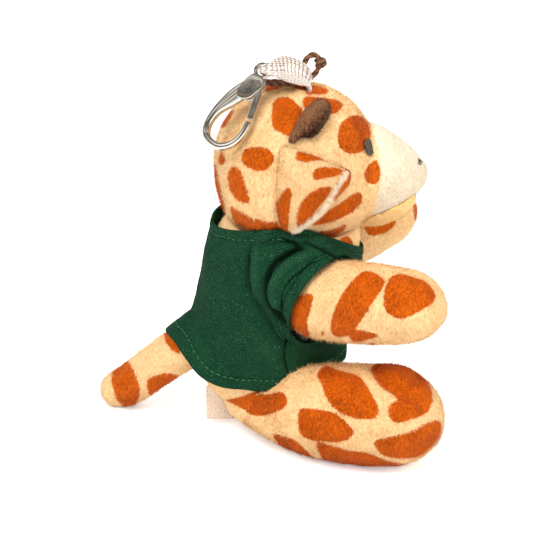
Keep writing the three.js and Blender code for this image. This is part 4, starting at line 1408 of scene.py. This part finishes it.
hook = swept("hook", spline(HOOK, 170), hook_section)
CHEEK = CLASP_UNIT * np.array(
    [[-0.1, -0.06], [0.02, -0.09], [0.05, -0.15], [0.035, -0.24], [-0.03, -0.31], [-0.1, -0.37],
     [-0.2, -0.39], [-0.28, -0.33], [-0.2, -0.16]]
)
cheeks = []
for sign in (1, -1):
    edge = spline(CHEEK, 90, looped=True)[:-1]
    middle = edge.mean(0)
    rings = []
    for inset, out in ((0.35, 1.2), (0, 1.32), (0, 1.78), (0.12, 1.9), (0.35, 1.96), (2.2, 1.97)):
        ring = middle + (edge - middle) * (1 - inset / 4.2)
        rings.append([in_clasp(a, r, out * sign) for a, r in ring])
    cheeks.append(outward(loft(f"cheek_{sign}", rings)))


def round_outline(radius, count):
    return [(radius * math.cos(t), radius * math.sin(t)) for t in circle(count)]


EYE_RADIUS = 1.95  # of the eye's middle line, in millimetres
eye_ring = swept(
    "eye_ring", round_outline(EYE_RADIUS, 64), lambda share: round_outline(0.65, 20), False, True
)


def joined(name, parts):
    """Several meshes as one object."""
    work = bmesh.new()
    for part in parts:
        work.from_mesh(part.data)
        bpy.data.objects.remove(part)
    mesh = bpy.data.meshes.new(name)
    work.to_mesh(mesh)
    work.free()
    mesh.shade_smooth()
    return link(name, mesh)


hook = joined("clasp_body_metal", [hook, eye_ring, *cheeks])
hook.data.materials.append(nickel)
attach(hook, "clasp")
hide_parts("clasp_body")

GATE = CLASP_UNIT * np.array([[0, -0.13], [-0.006, -0.18], [-0.016, -0.26], [-0.04, -0.43], [-0.083, -0.64]])


def squared(value, power):
    """A cosine or sine that gives a circle flatter sides and rounder corners."""
    return math.copysign(abs(value) ** power, value)


bar = np.array([(squared(math.cos(t), 0.8), squared(math.sin(t), 0.8)) for t in circle(32)])


def gate_section(share):
    wide = 1.18 * value_at([0.95, 1.05, 0.95, 0.88, 0.85], share)
    return bar * np.array([wide, 0.95]) * round_ends(share, 0.15, 40, 0.3)


gate = swept("clasp_gate_metal", spline(GATE, 70), gate_section)
gate.data.materials.append(nickel)
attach(gate, "gate")
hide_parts("clasp_gate")
for name in ("clasp_rivet", "clasp_spring"):
    nodes[name].data.materials.clear()
    nodes[name].data.materials.append(satin)


# Tape
def woven(name, light, dark):
    g = Graph(name)
    share = g.maths("MULTIPLY_ADD", g.noise(0.4, 3), 0.4, g.maths("MULTIPLY", g.value("weave"), 0.8))
    return g.finish(
        Base_Color=g.mix(g.spread(share, 0.25, 0.8), paint(dark), paint(light)),
        Roughness=0.8,
        Normal=g.bump(g.noise(0.3, 3), 0.1, 0.5),
        Specular_IOR_Level=0.3,
        Sheen_Weight=0.15,
    )


cotton = woven("tape_cotton", "#e9e0d6", "#867062")
TAPE_NEAR = [
    (0.98, 0.26, -0.52), (0.973, 0.247, -0.32), (0.867, 0.207, -0.18), (0.64, 0.107, -0.067),
    (0.4, -0.027, 0.013), (0.213, -0.147, 0.04),
]
TAPE_FAR = [
    (0.227, 0.293, -0.05), (0.493, 0.467, -0.09), (0.773, 0.553, -0.12), (0.933, 0.65, -0.27),
    (0.973, 0.69, -0.51),
]
TAPE_WIDE = [0.66, 0.75, 0.95, 1, 1, 0.8, 0.5, 0.36, 0.36, 0.5, 0.75, 0.9, 0.9, 0.8, 0.7, 0.66]
TAPE_THICK = [1, 1, 1, 1, 1, 1.1, 1.2, 1.3, 1.3, 1.2, 1.1, 1, 1, 1, 1, 1]
tape_path = route(TAPE_NEAR, TAPE_UNIT)
for turn in (90, 45, 0, -45, -90):
    turn = math.radians(turn)
    tape_path.append(np.array(in_clasp(EYE_RADIUS * (1 - math.cos(turn)), 0, EYE_RADIUS * math.sin(turn))))
tape_path += route(TAPE_FAR, TAPE_UNIT)
path = spline(tape_path, 520)
TAPE_LEAN = math.radians(27)
side = np.array([0, math.sin(TAPE_LEAN), math.cos(TAPE_LEAN)])
run = run_of(path) / MM
rings, weave = [], []
for k, (spot, way) in enumerate(zip(path, units(np.gradient(path, axis=0)))):
    share = k / (len(path) - 1)
    across = side - way * (side @ way)
    across /= np.linalg.norm(across)
    rise = np.cross(way, across)
    wide, tall = 2.5 * value_at(TAPE_WIDE, share), 0.55 * value_at(TAPE_THICK, share)
    fuller = math.sin(math.pi * min(1, share / 0.46)) ** 0.6 if share < 0.46 else 0.0
    spot = spot + across * 0.45 * fuller * MM
    wide = wide + 1.5 * fuller
    ring = []
    for t in circle(90):
        a, b = squared(math.cos(t), 0.7), squared(math.sin(t), 0.6)
        column = (a * wide / 1.35) % 1 - 0.5
        lean = run[k] + abs(column) * 1.5
        high = 1 - (abs(((lean / 1.45) % 1) - 0.5) * 2) ** 2
        high *= 1 - math.exp(-((abs(column) / 0.1) ** 2)) - math.exp(-(((abs(column) - 0.5) / 0.1) ** 2))
        if a < -0.3:
            high = 0.35 + 0.3 * high
        ring.append(spot + (across * wide * a + rise * (tall * b + 0.24 * high * b)) * MM)
        weave.append(high)
    rings.append(ring)
tape = outward(loft("hanging_tape_cotton", rings))
attribute(tape.data, "weave", weave)
tape.data.materials.append(cotton)
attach(tape, "body")
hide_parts("hanging_tape")

# Label, left bare
fabric = woven("label_fabric", "#efdcc8", "#d9c1a8")
turn = math.radians(-10)
HALF_LONG, HALF_TALL = 7.5, 5.75
rows = []
for u in np.linspace(-HALF_LONG, HALF_LONG, 50):
    row = []
    for v in np.linspace(-HALF_TALL, HALF_TALL, 40):
        bend = 0.35 * math.sin(u / 3.2) + 0.02 * (v + HALF_TALL) ** 1.5 * math.cos(u / 6)
        x, y = -12.6 + u * math.cos(turn) - bend * math.sin(turn), -3.9 + u * math.sin(turn) + bend
        row.append(at(x, y, 8 + v))
    rows.append(row)
label = loft("label_cloth", rows, caps=False, closed=False)
attribute(label.data, "weave", hilly(coords(label.data), 0.5, 3) * 0.5 + 0.5)
thicken(label, 0.35)
label.data.materials.append(fabric)
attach(label, "body")
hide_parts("label")

# Stage
WHITE = (1, 1, 1, 1)
g = Graph("floor")
ray = g.node("ShaderNodeLightPath").outputs["Is Camera Ray"]
g.finish(
    Base_Color=WHITE,
    Roughness=1.0,
    Specular_IOR_Level=0.0,
    Emission_Color=WHITE,
    Emission_Strength=g.maths("MULTIPLY", ray, 0.42),
)
floor = make("floor", [(-3, -3, 0), (3, -3, 0), (3, 3, 0), (-3, 3, 0)], [(0, 1, 2, 3)], False)
floor.data.materials.append(g.material)

# What shows in polished metal: a place for each share of the way up the surroundings, and its colour.
STUDIO = [
    (0.0, (0.42, 0.26, 0.15)), (0.4, (0.2, 0.14, 0.1)), (0.46, (0.01, 0.01, 0.01)), (0.52, (1.3, 1.26, 1.18)),
    (0.59, (0.75, 0.7, 0.62)), (0.625, (0.02, 0.02, 0.02)), (0.67, (0.4, 0.35, 0.29)), (0.73, (0.05, 0.045, 0.04)),
    (0.79, (1.2, 1.16, 1.1)), (0.85, (0.02, 0.02, 0.02)), (1.0, (0.5, 0.49, 0.48)),
]
world = bpy.data.worlds.new("studio")
bpy.context.scene.world = world
world.use_nodes = True
tree = world.node_tree


def placed_node(kind, *inputs, **settings):
    """A node of the surroundings, with its first inputs joined to sockets or set to values."""
    made = tree.nodes.new(kind)
    for key, value in settings.items():
        setattr(made, key, value)
    for socket, value in zip(made.inputs, inputs):
        if isinstance(value, bpy.types.NodeSocket):
            tree.links.new(value, socket)
        else:
            socket.default_value = value
    return made


way = placed_node("ShaderNodeTexCoord").outputs["Generated"]
split = placed_node("ShaderNodeSeparateXYZ", way)
level = placed_node("ShaderNodeMath", split.outputs["X"], 0.1, 0.5, operation="MULTIPLY_ADD")
height = placed_node("ShaderNodeMath", split.outputs["Z"], 0.46, level.outputs[0], operation="MULTIPLY_ADD")
bands = placed_node("ShaderNodeValToRGB", height.outputs[0])
for k, (place, tone) in enumerate(STUDIO):
    spot = bands.color_ramp.elements[k] if k < 2 else bands.color_ramp.elements.new(place)
    spot.position, spot.color = place, (*tone, 1)
rays = placed_node("ShaderNodeLightPath")
plain = placed_node("ShaderNodeBackground", WHITE, 0.62)
shine = placed_node("ShaderNodeBackground", bands.outputs[0], 0.9)
turned = placed_node("ShaderNodeMixShader", rays.outputs["Is Glossy Ray"], plain.outputs[0], shine.outputs[0])
white = placed_node("ShaderNodeBackground", WHITE, 1.0)
pick = placed_node("ShaderNodeMixShader", rays.outputs["Is Camera Ray"], turned.outputs[0], white.outputs[0])
tree.links.new(pick.outputs[0], tree.nodes["World Output"].inputs[0])


def light(name, place, size, power, color=(1, 1, 1)):
    data = bpy.data.lights.new(name, "AREA")
    data.size, data.energy, data.color = size, power, color
    obj = bpy.data.objects.new(name, data)
    obj.location = place
    obj.rotation_euler = (at(0, 0, 50) - Vector(place)).to_track_quat("-Z", "Y").to_euler()
    obj.visible_glossy = False
    bpy.context.scene.collection.objects.link(obj)


light("key", (-0.35, -0.6, 1.0), 0.7, 12, (1, 0.98, 0.95))
light("fill", (0.9, -0.6, 0.6), 0.8, 5)
light("rim", (0.1, 0.9, 0.9), 0.8, 5)

scene = bpy.context.scene
scene.view_settings.view_transform = "Standard"
scene.view_settings.look = "None"
scene.view_settings.exposure = 0
scene.view_settings.gamma = 1
